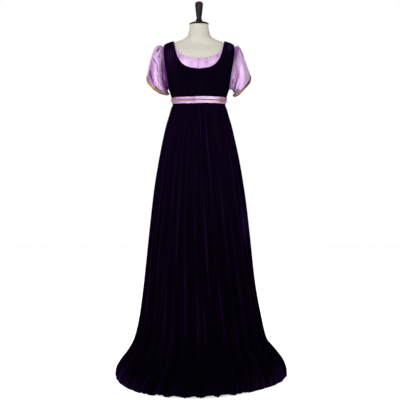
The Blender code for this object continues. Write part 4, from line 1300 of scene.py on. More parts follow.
def add_skirt(velvet):
    """Two back panels and the front one, parted in the valleys at the sides and the centre back."""
    back, front = len(BACK_FOLDS), len(FRONT_FOLDS)
    panels = (
        ("skirt_back_left", 0, back // 2, BACK_FOLD_COLUMNS, (0.70, 1.34), 0.58),
        ("skirt_back_right", back // 2, back, BACK_FOLD_COLUMNS, (0.76, 1.34), 0.61),
        ("skirt_front", back, back + front, FRONT_FOLD_COLUMNS, (1.14, 1.26), 0.96),
    )
    for node, first, last, columns, flat, area in panels:
        count = (last - first) * columns + 1
        phase = np.linspace(first - 0.5 + SEAM_PARTING, last - 0.5 - SEAM_PARTING, count)
        grids = skirt_grid(phase)
        # The seam columns take the lowest level: painted shade in the parted seams
        grids[2][:, [0, -1], 2] = 0.0
        if node == "skirt_back_right":
            # A paler patch on the right back panel
            grids = raised_level_at(grids, *PALE_SKIRT_PATCH)
        piece = add_cloth(f"velvet_{node}", [grids], velvet)
        place(piece, "velvet", node)


# The bodices
EDGE_POINTS = 160


def armhole_edge(shares, ease_out, back):
    """Angle and height on the armhole, from the underarm to the shoulder seam."""
    turn = np.linspace(np.pi, 0.0, EDGE_POINTS)
    middle = (SHOULDER_TIP + UNDERARM) / 2
    height = (SHOULDER_TIP - UNDERARM) / 2 + ease_out
    depth = (ARMHOLE_BACK if back else ARMHOLE_FRONT) + ease_out
    z = np.minimum(middle + height * np.cos(turn), SHOULDER_TIP + ease_out / 2)
    side = depth * np.sin(turn)
    if not back:
        _, back_depth, front_depth, _ = form_size(z)
        side = side * back_depth / front_depth
    return along(angle_at_y(side, z), z, shares)


def neck_edge(shares, neck):
    """Angle and height on the neckline, from the centre to the shoulder seam."""
    length = running_length(np.array(neck))
    x, z = smooth_curve(np.linspace(0.0, length[-1], EDGE_POINTS), length, np.array(neck)).T
    return along(angle_at_x(x, z), z, shares)


Panel = namedtuple("Panel", "neck lift wall armhole_ease back creases low_rows")
BODICE_COLUMNS = 34
BODICE_HIGH_ROWS = 64
BODICE_LINE_POINTS = 90
EDGE_OFF_SIDE_SEAM = 0.01
EDGE_ROLL = 0.0007
EDGE_ROLL_WIDTH = 0.0024
EDGE_GROOVE = -0.0003
EDGE_GROOVE_AT = 0.0062
EDGE_GROOVE_WIDTH = 0.0012
EDGE_HIGHLIGHT = 0.14
EDGE_HIGHLIGHT_WIDTH = 0.006
OPENING_SHADE = 0.12
OPENING_SHADE_WIDTH = 0.0035
SATIN_RELIEF = 0.5
BODICE_LEVEL_PER_METRE = 260.0
BODICE_NAP = 0.29
PANELS = {
    "velvet_back": Panel(
        VELVET_BACK_NECK, VELVET_LIFT, VELVET, VELVET_ARMHOLE_EASE, True, BACK_BODICE_CREASES, 26
    ),
    "velvet_front": Panel(
        VELVET_FRONT_NECK, VELVET_LIFT, VELVET, VELVET_ARMHOLE_EASE, False, FRONT_BODICE_CREASES, 22
    ),
    "under_back": Panel(UNDER_BACK_NECK, UNDER_LIFT, SATIN, 0.0, True, UNDER_BACK_CREASES, 30),
    "under_front": Panel(UNDER_FRONT_NECK, UNDER_LIFT, SATIN, 0.0, False, (), 24),
}


def half_panel(panel):
    """Grids of a bodice half: rows from the waist up, columns from the side to the centre."""
    low = np.arange(panel.low_rows) / panel.low_rows
    high = np.linspace(0, 1, BODICE_HIGH_ROWS + 1)
    hole_angle, hole_z = armhole_edge(high, panel.armhole_ease, panel.back)
    neck_angle, neck_z = neck_edge(high, panel.neck)
    side_angle = np.concatenate([0 * low, hole_angle])
    side_z = np.concatenate([WAIST_SEAM + low * (hole_z[0] - WAIST_SEAM), hole_z])
    centre_angle = np.concatenate([0 * low + np.pi / 2, neck_angle])
    centre_z = np.concatenate([WAIST_SEAM + low * (neck_z[0] - WAIST_SEAM), neck_z])
    dense = np.linspace(0, 1, BODICE_LINE_POINTS)
    shares = np.linspace(0, 1, BODICE_COLUMNS + 1)
    facing = 1 if panel.back else -1
    angles, heights, edges = [], [], []
    for k in range(len(side_z)):
        line_angle = facing * (side_angle[k] + dense * (centre_angle[k] - side_angle[k]))
        line_z = side_z[k] + dense * (centre_z[k] - side_z[k])
        angle, z = along(line_angle, line_z, shares)
        angles.append(angle)
        heights.append(z)
        across = running_length(over_form(angle, z, panel.lift))
        to_neck = across[-1] - across if k >= panel.low_rows else 1.0
        edges.append(np.minimum(across, to_neck))
    angle, z, edge = np.array(angles), np.array(heights), np.array(edges)
    below_neck = np.minimum(edge + EDGE_OFF_SIDE_SEAM, centre_z[panel.low_rows] - z)
    edge = np.where(np.arange(len(z))[:, None] < panel.low_rows, below_neck, edge)
    edge = np.maximum(edge, 0.0)
    x = np.abs(over_form(angle, z, panel.lift)[..., 0])
    creases = creased(x, z, panel.creases)
    relief = creases + EDGE_ROLL * hill(edge, EDGE_ROLL_WIDTH)
    relief = relief + EDGE_GROOVE * hill(edge - EDGE_GROOVE_AT, EDGE_GROOVE_WIDTH)
    # Velvet: a painted highlight along the bodice's rolled edges
    level = BODICE_NAP + EDGE_HIGHLIGHT * hill(edge, EDGE_HIGHLIGHT_WIDTH)
    if panel.wall == SATIN:
        relief = relief * SATIN_RELIEF
        # Satin: painted shade in the creases' troughs and along the centre opening, painted highlight on
        # their ridges
        level = SATIN_LEVEL + BODICE_LEVEL_PER_METRE * creases - OPENING_SHADE * hill(x, OPENING_SHADE_WIDTH)
    inner = over_form(angle, z, panel.lift + np.minimum(relief, 0.0))
    outer = over_form(angle, z, panel.lift + panel.wall + relief)
    for grid in (inner, outer):
        grid[0, :, 2] = WAIST_SEAM
        grid[-1, :, 1] = facing * SEAM_GAP / 2
        grid[: panel.low_rows + 1, 0, 1] = facing * SEAM_GAP / 2
        grid[: panel.low_rows + 1, -1, 0] = 0.0
    return inner, outer, stacked(np.sign(np.cos(angle)) * x, z, level)


def raised_level_at(grids, x, z, width, height, amount):
    """The grids with the cloth's level raised round a spot, so it shows paler there."""
    inner, outer, cloth = grids
    spot = ((outer[..., 0] - x) / width) ** 2 + ((outer[..., 2] - z) / height) ** 2
    cloth = cloth.copy()
    cloth[..., 2] += amount * np.exp(-spot)
    return inner, outer, cloth


def add_velvet_bodice(velvet):
    for side, area, flat in (("back", 0.070, (0.45, 0.27)), ("front", 0.068, (0.46, 0.27))):
        left = half_panel(PANELS[f"velvet_{side}"])
        right = mirrored(left)
        if side == "back":
            # Painted sheen on the shoulders, with crushed nap on the left one
            left = raised_level_at(left, *LEFT_SHOULDER_NAP_AND_SHEEN)
            right = raised_level_at(right, *RIGHT_SHOULDER_SHEEN)
        piece = add_cloth(f"velvet_bodice_{side}", [left, right], velvet)
        place(piece, "velvet", f"bodice_{side}")


def add_under_bodice(satin):
    half = half_panel(PANELS["under_front"])
    piece = add_cloth("satin_under_front", [half, mirrored(half)], satin)
    place(piece, "satin", "under_bodice_front")
    left = half_panel(PANELS["under_back"])
    for grid in left[:2]:
        grid[: PANELS["under_back"].low_rows + 1, -1, 0] = SEAM_GAP / 2
    for side, grids in (("left", left), ("right", mirrored(left))):
        piece = add_cloth(f"satin_under_back_{side}", [grids], satin)
        place(piece, "satin", f"under_bodice_back_{side}")


# The sleeves
def sleeve_curve(turn, settle, tuck):
    """The armhole point, and four points from the seam's stand to the hem, at a turn in radians.

    Settle lets the outer side hang lower and closer, and tuck draws the underarm in to the body.
    """
    degrees = np.degrees(np.abs(turn))
    side = np.where(turn < 0, -1.0, 1.0)
    turns = column(SLEEVE_CURVES, "turn")

    def at(field):
        return smooth_curve(degrees, turns, column(SLEEVE_CURVES, field))

    depth = np.where(turn < 0, ARMHOLE_FRONT, ARMHOLE_BACK) - SLEEVE_ROOT_INSET
    half_height = (SHOULDER_TIP - UNDERARM) / 2 - SLEEVE_ROOT_INSET
    z = (SHOULDER_TIP + UNDERARM) / 2 + half_height * np.cos(turn)
    _, back_depth, front_depth, _ = form_size(z)
    y = depth * np.sin(np.abs(turn))
    scale = np.where(turn < 0, back_depth / front_depth, 1.0)
    root_angle = angle_at_y(y * scale, z) * side
    root = over_form(root_angle, z, UNDER_LIFT)
    stand = root + form_normal(root_angle, z) * SLEEVE_STAND
    closer = settle * ease(1 - degrees / SETTLE_END)
    lower = closer * SETTLE_FALL
    drawn = tuck * eased(degrees, TUCK_FROM, TUCK_FULL)
    rise = LEFT_HEM_RISE * eased(degrees, RISE_FROM, RISE_FULL) * (tuck > 0)
    swell_x = at("swell_x") - closer - drawn * TUCK_AT_SWELL
    swell = stacked(swell_x, at("swell_y") * side, at("swell_z") - lower)
    low_x = at("low_x") - closer - drawn
    low = stacked(low_x, at("low_y") * side, at("low_z") - lower + rise / 2)
    hem_x = at("hem_x") - closer * SETTLE_AT_HEM - drawn
    return root, stand, swell, low, stacked(hem_x, at("hem_y") * side, at("hem_z") + rise)


def sleeve_point(turn, share, hang):
    """A point on the sleeve, share running from the armhole to the full hem."""
    root, stand, swell, low, hem = sleeve_curve(turn, *hang)
    share = np.expand_dims(share, -1)
    t = np.maximum((share - SLEEVE_STAND_SHARE) / (1 - SLEEVE_STAND_SHARE), 0.0)
    curve = (1 - t) ** 3 * stand + 3 * (1 - t) ** 2 * t * swell + 3 * (1 - t) * t**2 * low + t**3 * hem
    return np.where(share < SLEEVE_STAND_SHARE, root + (stand - root) * share / SLEEVE_STAND_SHARE, curve)


def sleeve_normal(turn, share, hang):
    small = 1e-3
    around = sleeve_point(turn + small, share, hang) - sleeve_point(turn - small, share, hang)
    down = sleeve_point(turn, share + small, hang) - sleeve_point(turn, share - small, hang)
    return unit(np.cross(down, around))


def petal_share(turn):
    """How far down the sleeve a petal reaches: its edge climbs to the armhole past the outer side."""
    climb = np.clip(-np.degrees(turn) / SLEEVE_LAP_END, 0.0, 1.0)
    return 1.0 - PETAL_CLIMB * climb**PETAL_CLIMB_POWER


def gather_swell(turn, share):
    """Height of the soft gathers round the sleeve's head, with small ones between them at the seam."""
    wave = lifted(np.cos(SLEEVE_GATHERS * turn))
    fall = eased(share, GATHER_FADE_FROM, GATHER_FADE_TO)
    head = at_least(GATHER_AT_UNDERARM, np.cos(turn / 2) ** 2)
    full = SLEEVE_GATHER_DEPTH * wave * ease(share / GATHER_FULL) * (1 - fall) * head
    pucker = lifted(np.cos(PUCKERS * turn + ripple(turn, *PUCKER_SWAY)))
    near = ease((share - PUCKER_START) / PUCKER_START_RUN)
    near = near * (1 - ease((share - PUCKER_FADE) / PUCKER_FADE_RUN))
    return full + PUCKER_HEIGHT * pucker * near * head


Petal = namedtuple("Petal", "side under hang creases tones")


def petal_creases(petal, turn, share):
    """Height of the petal's creases, none of them where it lies under the other petal."""
    x, y = np.degrees(turn) * DEGREE_LENGTH, share * SHARE_LENGTH
    scaled = [
        c._replace(
            from_x=c.from_x * DEGREE_LENGTH,
            to_x=c.to_x * DEGREE_LENGTH,
            from_y=c.from_y * SHARE_LENGTH,
            to_y=c.to_y * SHARE_LENGTH,
            width=c.width * SHARE_LENGTH,
        )
        for c in petal.creases
    ]
    clear_of_lap = 1.0
    if petal.under:
        clear_of_lap = 1 - ease((np.degrees(turn) - UNDER_PLAIN_FROM) / UNDER_PLAIN_RUN)
    return creased(x, y, scaled) * ease((share - SLEEVE_STAND_SHARE) / CREASE_BELOW_SEAM) * clear_of_lap


def petal_layer(petal, turn, share, lift):
    """A petal's point: the under petal sinks below the other where they lap."""
    sink = SLEEVE_LAP * eased(np.degrees(turn), LAP_SINK_FROM, LAP_SINK_FULL) if petal.under else 0.0
    height = gather_swell(np.abs(turn), share) + petal_creases(petal, turn, share) + lift - sink
    normal = sleeve_normal(turn, share, petal.hang)
    return sleeve_point(turn, share, petal.hang) + normal * np.expand_dims(height, -1)


SATIN_LEVEL = 0.62
LEVEL_PER_METRE = 95.0
PETAL_COLUMNS = 140
PETAL_STAND_ROWS = 5
PETAL_ROWS = 60
PETAL_INNER_LIFT = 0.0002
PETAL_LEVELS = (-0.52, 0.26)
GATHER_TONE = 0.6


def petal_turns(petal):
    """Turns from the underarm to the petal's end, as for a back petal, and with this petal's own sign."""
    turns = np.radians(np.linspace(180.0, -SLEEVE_LAP_END, PETAL_COLUMNS))
    return turns, (-turns if petal.under else turns)


def petal_grids(petal):
    turns, signed = petal_turns(petal)
    reach = petal_share(turns) - SLEEVE_STAND_SHARE
    stand = np.linspace(0, SLEEVE_STAND_SHARE, PETAL_STAND_ROWS, endpoint=False)[:, None] + 0 * turns
    rows = SLEEVE_STAND_SHARE + np.linspace(0, 1, PETAL_ROWS)[:, None] * reach
    share = np.concatenate([stand, rows])
    turn = np.broadcast_to(signed, share.shape)
    inner = petal_layer(petal, turn, share, PETAL_INNER_LIFT)
    outer = petal_layer(petal, turn, share, SATIN)
    for grid in (inner, outer):
        grid[:, 0, 1] = -SEAM_GAP / 2 if petal.under else SEAM_GAP / 2
    # The level: painted shade in the creases' troughs, painted highlight on their ridges and on the gathers,
    # then the petal's painted tones
    gathers = gather_swell(np.abs(turn), share) - SLEEVE_GATHER_DEPTH / 2
    raised = petal_creases(petal, turn, share) + GATHER_TONE * gathers
    level = SATIN_LEVEL + np.clip(raised * LEVEL_PER_METRE, *PETAL_LEVELS)
    degrees = np.degrees(turn)
    for tone in petal.tones:
        away = ((degrees - tone.turn) / tone.turn_width) ** 2 + ((share - tone.share) / tone.share_width) ** 2
        level = level + tone.level * np.exp(-away)
    return inner, outer, stacked(degrees * DEGREE_LENGTH, -share * SHARE_LENGTH, level)


def petal_edge(petal, inset, lift):
    """A line over the petal, inset from its edge in metres."""
    turns, signed = petal_turns(petal)
    share = petal_share(turns) - inset / SHARE_LENGTH
    return petal_layer(petal, signed, share, lift)


def piping_line(petal):
    """Centre line of the gold cord, just past a petal's edge."""
    edge = petal_edge(petal, 0.0, SATIN / 2)
    tangent = unit(np.gradient(edge, axis=0))
    away = edge - petal_edge(petal, PIPING_LOOK_BACK, SATIN / 2)
    away = away - tangent * np.sum(away * tangent, axis=-1, keepdims=True)
    line = edge + unit(away) * (PIPING_RADIUS * PIPING_PRESSED + PIPING_GAP)
    line[0, 1] = (-1 if petal.under else 1) * (PIPING_RADIUS + PIPING_GAP)
    return line


BRAID_WIDTH = 0.0058
BRAID_REPEAT = 0.0030
BRAID_HEIGHT = 0.0013
BRAID_INSET = 0.0004
BRAID_CLEAR = 0.0001
BRAID_LINES = 7
BRAID_STEPS = 6
BRAID_SLANT = 0.35
BRAID_CROWN = 0.8
BRAID_HOLLOW = 0.45
TRIM_END_SHADE = 0.97
TRIM_END_SHADE_RUN = 0.092
TRIM_END_SHADE_FADE = 0.032


def shaded_trim_end(run):
    """How much painted shade darkens a trim at a distance along it from the underarm."""
    return TRIM_END_SHADE * ease((TRIM_END_SHADE_RUN - run) / TRIM_END_SHADE_FADE)


def braid_grids(petal):
    """A narrow ribbed braid laid on the petal beside the cord."""
    across = np.linspace(BRAID_INSET, BRAID_WIDTH, BRAID_LINES)
    low = np.array([petal_edge(petal, inset, SATIN + BRAID_CLEAR) for inset in across])
    high = np.array([petal_edge(petal, inset, SATIN + BRAID_HEIGHT) for inset in across])
    length = running_length(low[BRAID_LINES // 2])
    at = np.linspace(0, length[-1], int(length[-1] / (BRAID_REPEAT / BRAID_STEPS)))
    low = np.array([smooth_curve(at, length, row) for row in low])
    high = np.array([smooth_curve(at, length, row) for row in high])
    middle = np.abs(np.linspace(-1, 1, BRAID_LINES))[:, None]
    rib = np.abs(np.sin(np.pi * (at / BRAID_REPEAT + BRAID_SLANT * middle)))
    full = (1 - middle**2 * BRAID_CROWN) * at_least(BRAID_HOLLOW, rib)
    outer = low + (high - low) * full[..., None]
    return low, outer, stacked(at, across[:, None], 0.0)


def add_sleeves(satin, gold):
    left_hang, right_hang = (0.0, LEFT_SLEEVE_TUCK), (RIGHT_SLEEVE_SETTLE, 0.0)
    for petal in (
        Petal("left", False, left_hang, LEFT_BACK_CREASES, LEFT_BACK_TONES),
        Petal("left", True, left_hang, LEFT_FRONT_CREASES, ()),
        Petal("right", False, right_hang, RIGHT_BACK_CREASES, RIGHT_BACK_TONES),
        Petal("right", True, right_hang, RIGHT_FRONT_CREASES, ()),
    ):
        grids, braid, line = petal_grids(petal), braid_grids(petal), piping_line(petal)
        if petal.side == "right":
            grids, braid, line = mirrored(grids), mirrored(braid), line * MIRROR
        half = "front" if petal.under else "back"
        name = f"{petal.side}_{half}"
        cloth = add_cloth(f"satin_petal_{name}", [grids], satin)
        place(cloth, "satin", f"sleeve_{name}")
        strands = twisted(line, PIPING_RADIUS, PIPING_PITCH, PIPING_SIDES)
        # The cord and the braid take painted shade at their underarm ends
        for _, _, places in strands:
            places[:, 2] = shaded_trim_end(places[:, 0])
        # Places along the right braid run below nought, so all of it takes the painted shade
        braid[2][..., 2] = shaded_trim_end(braid[2][..., 0])
        cord = add_joined(f"gold_cord_{name}", strands, gold)
        place(cord, "gold_trim", f"piping_{name}")
        band = add_cloth(f"gold_braid_{name}", [braid], gold)
        place(band, "gold_trim")


# The sash
def sash_lift(degrees):
    """The sash's free end rises over the other end at the centre back."""
    past = eased(degrees, SASH_LAP_RISE_FROM, SASH_LAP_RISE_TO)
    return SASH_LIFT + past * (SASH_WALL + SASH_LAP_GAP)


def sash_step(degrees):
    """The free end sits a little above the middle of the run, and the end beneath it a little below."""
    over = ease((SASH_OVER_LEVEL - degrees) / (SASH_OVER_LEVEL - SASH_OVER_END + 360))
    under = ease((degrees - SASH_UNDER_LEVEL) / (SASH_UNDER_END - SASH_UNDER_LEVEL))
    return SASH_END_STEP * (over - under)


def sash_point(degrees, height, off):
    """A point over the sash: height is above its middle, off is out from its outer face."""
    degrees, height, off = np.broadcast_arrays(degrees, height, off)
    middle = (SASH_BOTTOM + SASH_TOP) / 2
    angle = np.radians(degrees)
    foot = form_point(angle, SASH_BOTTOM)
    head = form_point(angle, SASH_TOP)
    share = (height + middle + sash_step(degrees) - SASH_BOTTOM) / (SASH_TOP - SASH_BOTTOM)
    lift = sash_lift(degrees) + SASH_WALL + off
    return foot + (head - foot) * share[..., None] + form_normal(angle, middle) * lift[..., None]


SASH_COLUMNS = 560
SASH_ROWS = 17
SASH_RADIUS = 0.118
SELVEDGE = 0.0004
SELVEDGE_WIDTH = 0.0012
SASH_INNER_RELIEF = 0.5
EDGE_WAVE = 0.0003
EDGE_WAVE_RATE = 23
EDGE_WAVE_RUN = 0.004
SASH_LEVEL_PER_METRE = 420.0

# The satin's level round the sash, at places in degrees: a painted highlight past the lap, darker on the end
# beneath, and painted shade at the sides
SASH_PALER = 0.02
SASH_PALE = 0.18
SASH_PALE_AT = -248.0
SASH_PALE_WIDTH = 16.0
SASH_DULL = 0.13
SASH_DULL_FROM = -30.0
SASH_DULL_RUN = 60.0
SASH_DEEP_SIDES = ((2.0, 24.0), (-186.0, 20.0))
SASH_DEEP = 0.12
SASH_DEEP_ABOVE = 0.40
SASH_DEEP_RUN = 0.012


def along_sash(degrees):
    return np.radians(degrees) * SASH_RADIUS


def sash_relief(degrees, height):
    scaled = [c._replace(from_x=along_sash(c.from_x), to_x=along_sash(c.to_x)) for c in SASH_CREASES]
    return creased(along_sash(degrees), height, scaled)


def sash_level(degrees, height):
    """The satin's level over the sash: a painted highlight past the lap, darker on the end beneath, painted
    shade at the sides, deepest near the top.
    """
    under = ease((degrees - SASH_DULL_FROM) / SASH_DULL_RUN)
    past_lap = hill(degrees - SASH_PALE_AT, SASH_PALE_WIDTH)
    sides = sum(hill(degrees - at, width) for at, width in SASH_DEEP_SIDES)
    deep = SASH_DEEP + SASH_DEEP_ABOVE * ease(height / SASH_DEEP_RUN)
    return SASH_PALER + SASH_PALE * past_lap - SASH_DULL * under - sides * deep


def add_sash(satin):
    degrees = np.linspace(SASH_UNDER_END, SASH_OVER_END - 360, SASH_COLUMNS)[None, :]
    half = (SASH_TOP - SASH_BOTTOM) / 2
    height = np.linspace(-half, half, SASH_ROWS)[:, None]
    to_edge = half - np.abs(height)
    creases = sash_relief(degrees, height)
    wave = ripple(np.radians(degrees), EDGE_WAVE, EDGE_WAVE_RATE) * np.sign(height)
    wave = wave * ease(1 - to_edge / EDGE_WAVE_RUN)
    relief = creases + SELVEDGE * hill(to_edge, SELVEDGE_WIDTH)
    outer = sash_point(degrees, height + wave, relief)
    inner = sash_point(degrees, height + wave, np.minimum(relief, 0.0) * SASH_INNER_RELIEF - SASH_WALL)
    # Painted shade in the creases' troughs and painted highlight on their ridges
    level = SATIN_LEVEL + sash_level(degrees, height) + SASH_LEVEL_PER_METRE * creases
    cloth = stacked(height, along_sash(degrees), level)
    return place(add_cloth("satin_sash", [(inner, outer, cloth)], satin), "satin", "sash")


PLAIT_RADIUS = 0.0012
PLAIT_SWING = 0.0029
PLAIT_REPEAT = 0.0150
PLAIT_STRANDS = 3
PLAIT_WORN_REPEAT = 0.021
PLAIT_WORN = 0.40
PLAIT_NARROW_WORN = 0.8
PLAIT_NARROWED = 0.3
PLAIT_NARROW_RUN = 50.0
PLAIT_STARTS_AFTER = 10.6
PLAIT_STOPS_BEFORE = 0.6
PLAIT_UNDER_OVAL = 0.4
PLAIT_STEP = 0.0008
PLAIT_FEWEST_STEPS = 8
PLAIT_OFF = 1.55
PLAIT_WEAVE = 0.75
PLAIT_SIDES = 7
STITCH = 0.0011
STITCH_HEIGHT = 0.00012
LENS_COLUMNS = 120
LENS_ROWS = 15
LENS_TIP = 0.985
LENS_END_RUN = 0.25
LENS_SUNK = 0.0001
LENS_RAISED = 0.0002
OVAL_LINE_POINTS = 70
EDGE_CORD_RADIUS = 0.0010
EDGE_CORD_SIDES = 6

# The two fills of each oval: their share of its size, and the heights off the sash they lie between
OVAL_FILLS = {"ground": (0.93, 0.0002, 0.0008), "heart": (0.56, 0.0008, 0.0021)}

# The cords round each oval: their share of its size, height off the sash, thickness and pitch
OVAL_CORDS = ((0.98, 0.0010, 1.0, 0.0036), (0.60, 0.0013, 0.7, 0.0028))


def plait_parts():
    """A flat plait of thin cords round the middle of the sash, broken where the ovals lie."""
    stops = [SASH_UNDER_END - PLAIT_STARTS_AFTER]
    for centre in OVAL_CENTRES:
        stops += [centre + OVAL_HALF_ANGLE - PLAIT_UNDER_OVAL, centre - OVAL_HALF_ANGLE + PLAIT_UNDER_OVAL]
    stops.append(SASH_OVER_END - 360 + PLAIT_STOPS_BEFORE)
    parts = []
    for first, last in zip(stops[::2], stops[1::2]):
        length = along_sash(first - last)
        run = np.linspace(0, length, max(int(length / PLAIT_STEP), PLAIT_FEWEST_STEPS))
        degrees = first - np.degrees(run / SASH_RADIUS)
        narrow = 1 - PLAIT_NARROWED * ease((SASH_OVER_LEVEL - degrees) / PLAIT_NARROW_RUN)
        patches = PLAIT_WORN * ripple(run, 1.0, np.pi / PLAIT_WORN_REPEAT) ** 4
        worn = PLAIT_NARROW_WORN * (1 - narrow) + patches
        for strand in range(PLAIT_STRANDS):
            turn = math.tau * (run / PLAIT_REPEAT + strand / PLAIT_STRANDS)
            height = PLAIT_SWING * narrow * np.sin(turn)
            off = PLAIT_RADIUS * (PLAIT_OFF + PLAIT_WEAVE * np.cos(2 * turn))
            line = sash_point(degrees, height, off)
            points, faces, cloth = tube_parts(line, PLAIT_RADIUS * narrow, PLAIT_SIDES)
            cloth[:, 2] = np.interp(cloth[:, 0], run, worn)
            parts.append((points, faces, cloth))
    return parts


def lens_grids(centre, scale, low, high):
    """A pointed oval of padded stitches, its ribs across it, from one height above the sash to another."""
    reach = OVAL_HALF_ANGLE * scale
    degrees = centre + np.linspace(reach, -reach, LENS_COLUMNS)[None, :]
    away = np.abs(degrees - centre) / reach
    half = OVAL_HALF_HEIGHT * scale * np.cos(np.clip(away, 0, LENS_TIP) * np.pi / 2)
    share = np.linspace(-1, 1, LENS_ROWS)[:, None]
    rib = lifted(np.cos(math.tau * along_sash(degrees - centre) / STITCH))
    dome = (1 - share**2) ** 0.5 * ease((1 - away) / LENS_END_RUN)
    off = low + (high - low) * dome + STITCH_HEIGHT * rib * dome
    inner = sash_point(degrees, share * half, low - LENS_SUNK)
    outer = sash_point(degrees, share * half, off + LENS_RAISED)
    return inner, outer, stacked(along_sash(degrees), share * half, 0.0)


def oval_outline(centre, scale, off):
    """A closed line round a pointed oval."""
    reach = OVAL_HALF_ANGLE * scale
    there = np.linspace(1, -1, OVAL_LINE_POINTS)
    half = OVAL_HALF_HEIGHT * scale * np.cos(there * np.pi / 2)
    top = sash_point(centre + there * reach, half, off)
    bottom = sash_point(centre + there[::-1] * reach, -half[::-1], off)
    return np.concatenate([top, bottom[1:]])


def add_sash_trim(gold, copper, coral, purple):
    plait = add_joined("gold_sash_plait", plait_parts(), copper)
    trims = [place(plait, "gold_trim", "sash_trim")]
    for number, centre in enumerate(OVAL_CENTRES, 1):
        for (label, size), finish in zip(OVAL_FILLS.items(), (purple, coral)):
            piece = add_cloth(f"oval_{number}_{label}", [lens_grids(centre, *size)], finish)
            trims.append(place(piece, "gold_trim"))
        parts = []
        for scale, off, thick, pitch in OVAL_CORDS:
            line = oval_outline(centre, scale, off)
            parts += twisted(line, EDGE_CORD_RADIUS * thick, pitch, EDGE_CORD_SIDES)
        trims.append(place(add_joined(f"oval_{number}_cord", parts, gold), "gold_trim"))


# The form and its stand
FORM_COLUMNS = 120
FORM_ROWS = 150
FORM_SEAMS = (0.0, 180.0, 270.0)
FORM_SEAM_DEPTH = 0.0007
FORM_SEAM_WIDTH = 0.0011
FORM_RADIUS = 0.11
FORM_SHARP_FROM = 50


def add_form(linen):
    """The linen skin with its sewn seams, closed flat at the neck and at the foot."""
    z = np.linspace(FORM_SECTIONS[0].z, NECK_TOP, FORM_ROWS)[:, None]
    angle = np.linspace(0, math.tau, FORM_COLUMNS, endpoint=False)[None, :]
    surface = form_point(angle, z)
    seam = np.zeros(surface.shape[:2])
    for degrees in FORM_SEAMS:
        off = np.linalg.norm(surface - form_point(np.radians(degrees), z), axis=-1)
        seam = np.maximum(seam, hill(off, FORM_SEAM_WIDTH))
    surface = surface - form_normal(angle, z) * (FORM_SEAM_DEPTH * seam)[..., None]
    faces = quads_of(FORM_ROWS, FORM_COLUMNS, closed=True).tolist()
    faces.append(list(range(FORM_COLUMNS))[::-1])
    faces.append([(FORM_ROWS - 1) * FORM_COLUMNS + j for j in range(FORM_COLUMNS)])
    cloth = stacked(angle * FORM_RADIUS, z, 0.0)
    piece = add_mesh("linen_form", surface.reshape(-1, 3), faces, linen, cloth)
    piece.data.set_sharp_from_angle(angle=math.radians(FORM_SHARP_FROM))
    place(piece, "linen", "form_torso")


Turned = namedtuple("Turned", "radius height")
CAP_OUTLINE = table(
    Turned,
    (0.0, 0.0),
    (0.0425, 0.0),
    (0.0430, 0.0010),
    (0.0432, 0.0030),
    (0.0422, 0.0050),
    (0.0400, 0.0070),
    (0.0350, 0.0094),
    (0.0290, 0.0115),
    (0.0220, 0.0132),
    (0.0148, 0.0145),
    (0.0, 0.0145),
)
HANDLE_OUTLINE = table(
    Turned,
    (0.0, 0.0),
    (0.0120, 0.0),
    (0.0143, 0.0012),
    (0.0150, 0.0030),
    (0.0150, 0.0052),
    (0.0143, 0.0066),
    (0.0122, 0.0088),
    (0.0112, 0.0112),
    (0.0112, 0.0130),
    (0.0132, 0.0290),
    (0.0158, 0.0520),
    (0.0176, 0.0700),
    (0.0180, 0.0760),
    (0.0172, 0.0800),
    (0.0136, 0.0842),
    (0.0060, 0.0875),
    (0.0, 0.0885),
)
TURNED_COLUMNS = 72
TURNED_ROWS = 60
TURNED_SHARP_FROM = 40

# A covered button from its back to its front, in shares of its radius and of half its depth
BUTTON_OUTLINE = table(
    Turned,
    (0.90, -1.00),
    (1.00, -0.55),
    (0.98, -0.10),
    (0.86, 0.35),
    (0.60, 0.75),
    (0.30, 0.95),
)
BUTTON_RADIUS = 0.0028
BUTTON_HALF_DEPTH = 0.0011
BUTTON_SIDES = 32


def add_turned(name, outline, foot, material):
    """A piece turned about the pole's axis from an outline whose ends are on the axis."""
    length = running_length(np.array(outline))
    at = np.unique(np.concatenate([length, np.linspace(0, length[-1], TURNED_ROWS)]))
    radius, height = smooth_curve(at, length, np.array(outline))[1:-1].T[..., None]
    turn = np.linspace(0, math.tau, TURNED_COLUMNS, endpoint=False)
    rings = stacked(radius * np.cos(turn), radius * np.sin(turn), foot + height)
    ends = [[0.0, 0.0, foot], [0.0, 0.0, foot + outline[-1].height]]
    quads, fans = tube_faces(len(radius), TURNED_COLUMNS)
    points = np.concatenate([rings.reshape(-1, 3), ends])
    piece = add_mesh(name, points, quads.tolist() + fans, material)
    piece.data.set_sharp_from_angle(angle=math.radians(TURNED_SHARP_FROM))
    return piece


def add_neck_top(lacquer):
    seat = NECK_TOP + SEAM_GAP
    place(add_turned("lacquered_cap", CAP_OUTLINE, seat, lacquer), "black_wood", "neck_cap")
    foot = seat + CAP_OUTLINE[-1].height + SEAM_GAP
    place(add_turned("lacquered_handle", HANDLE_OUTLINE, foot, lacquer), "black_wood", "neck_handle")


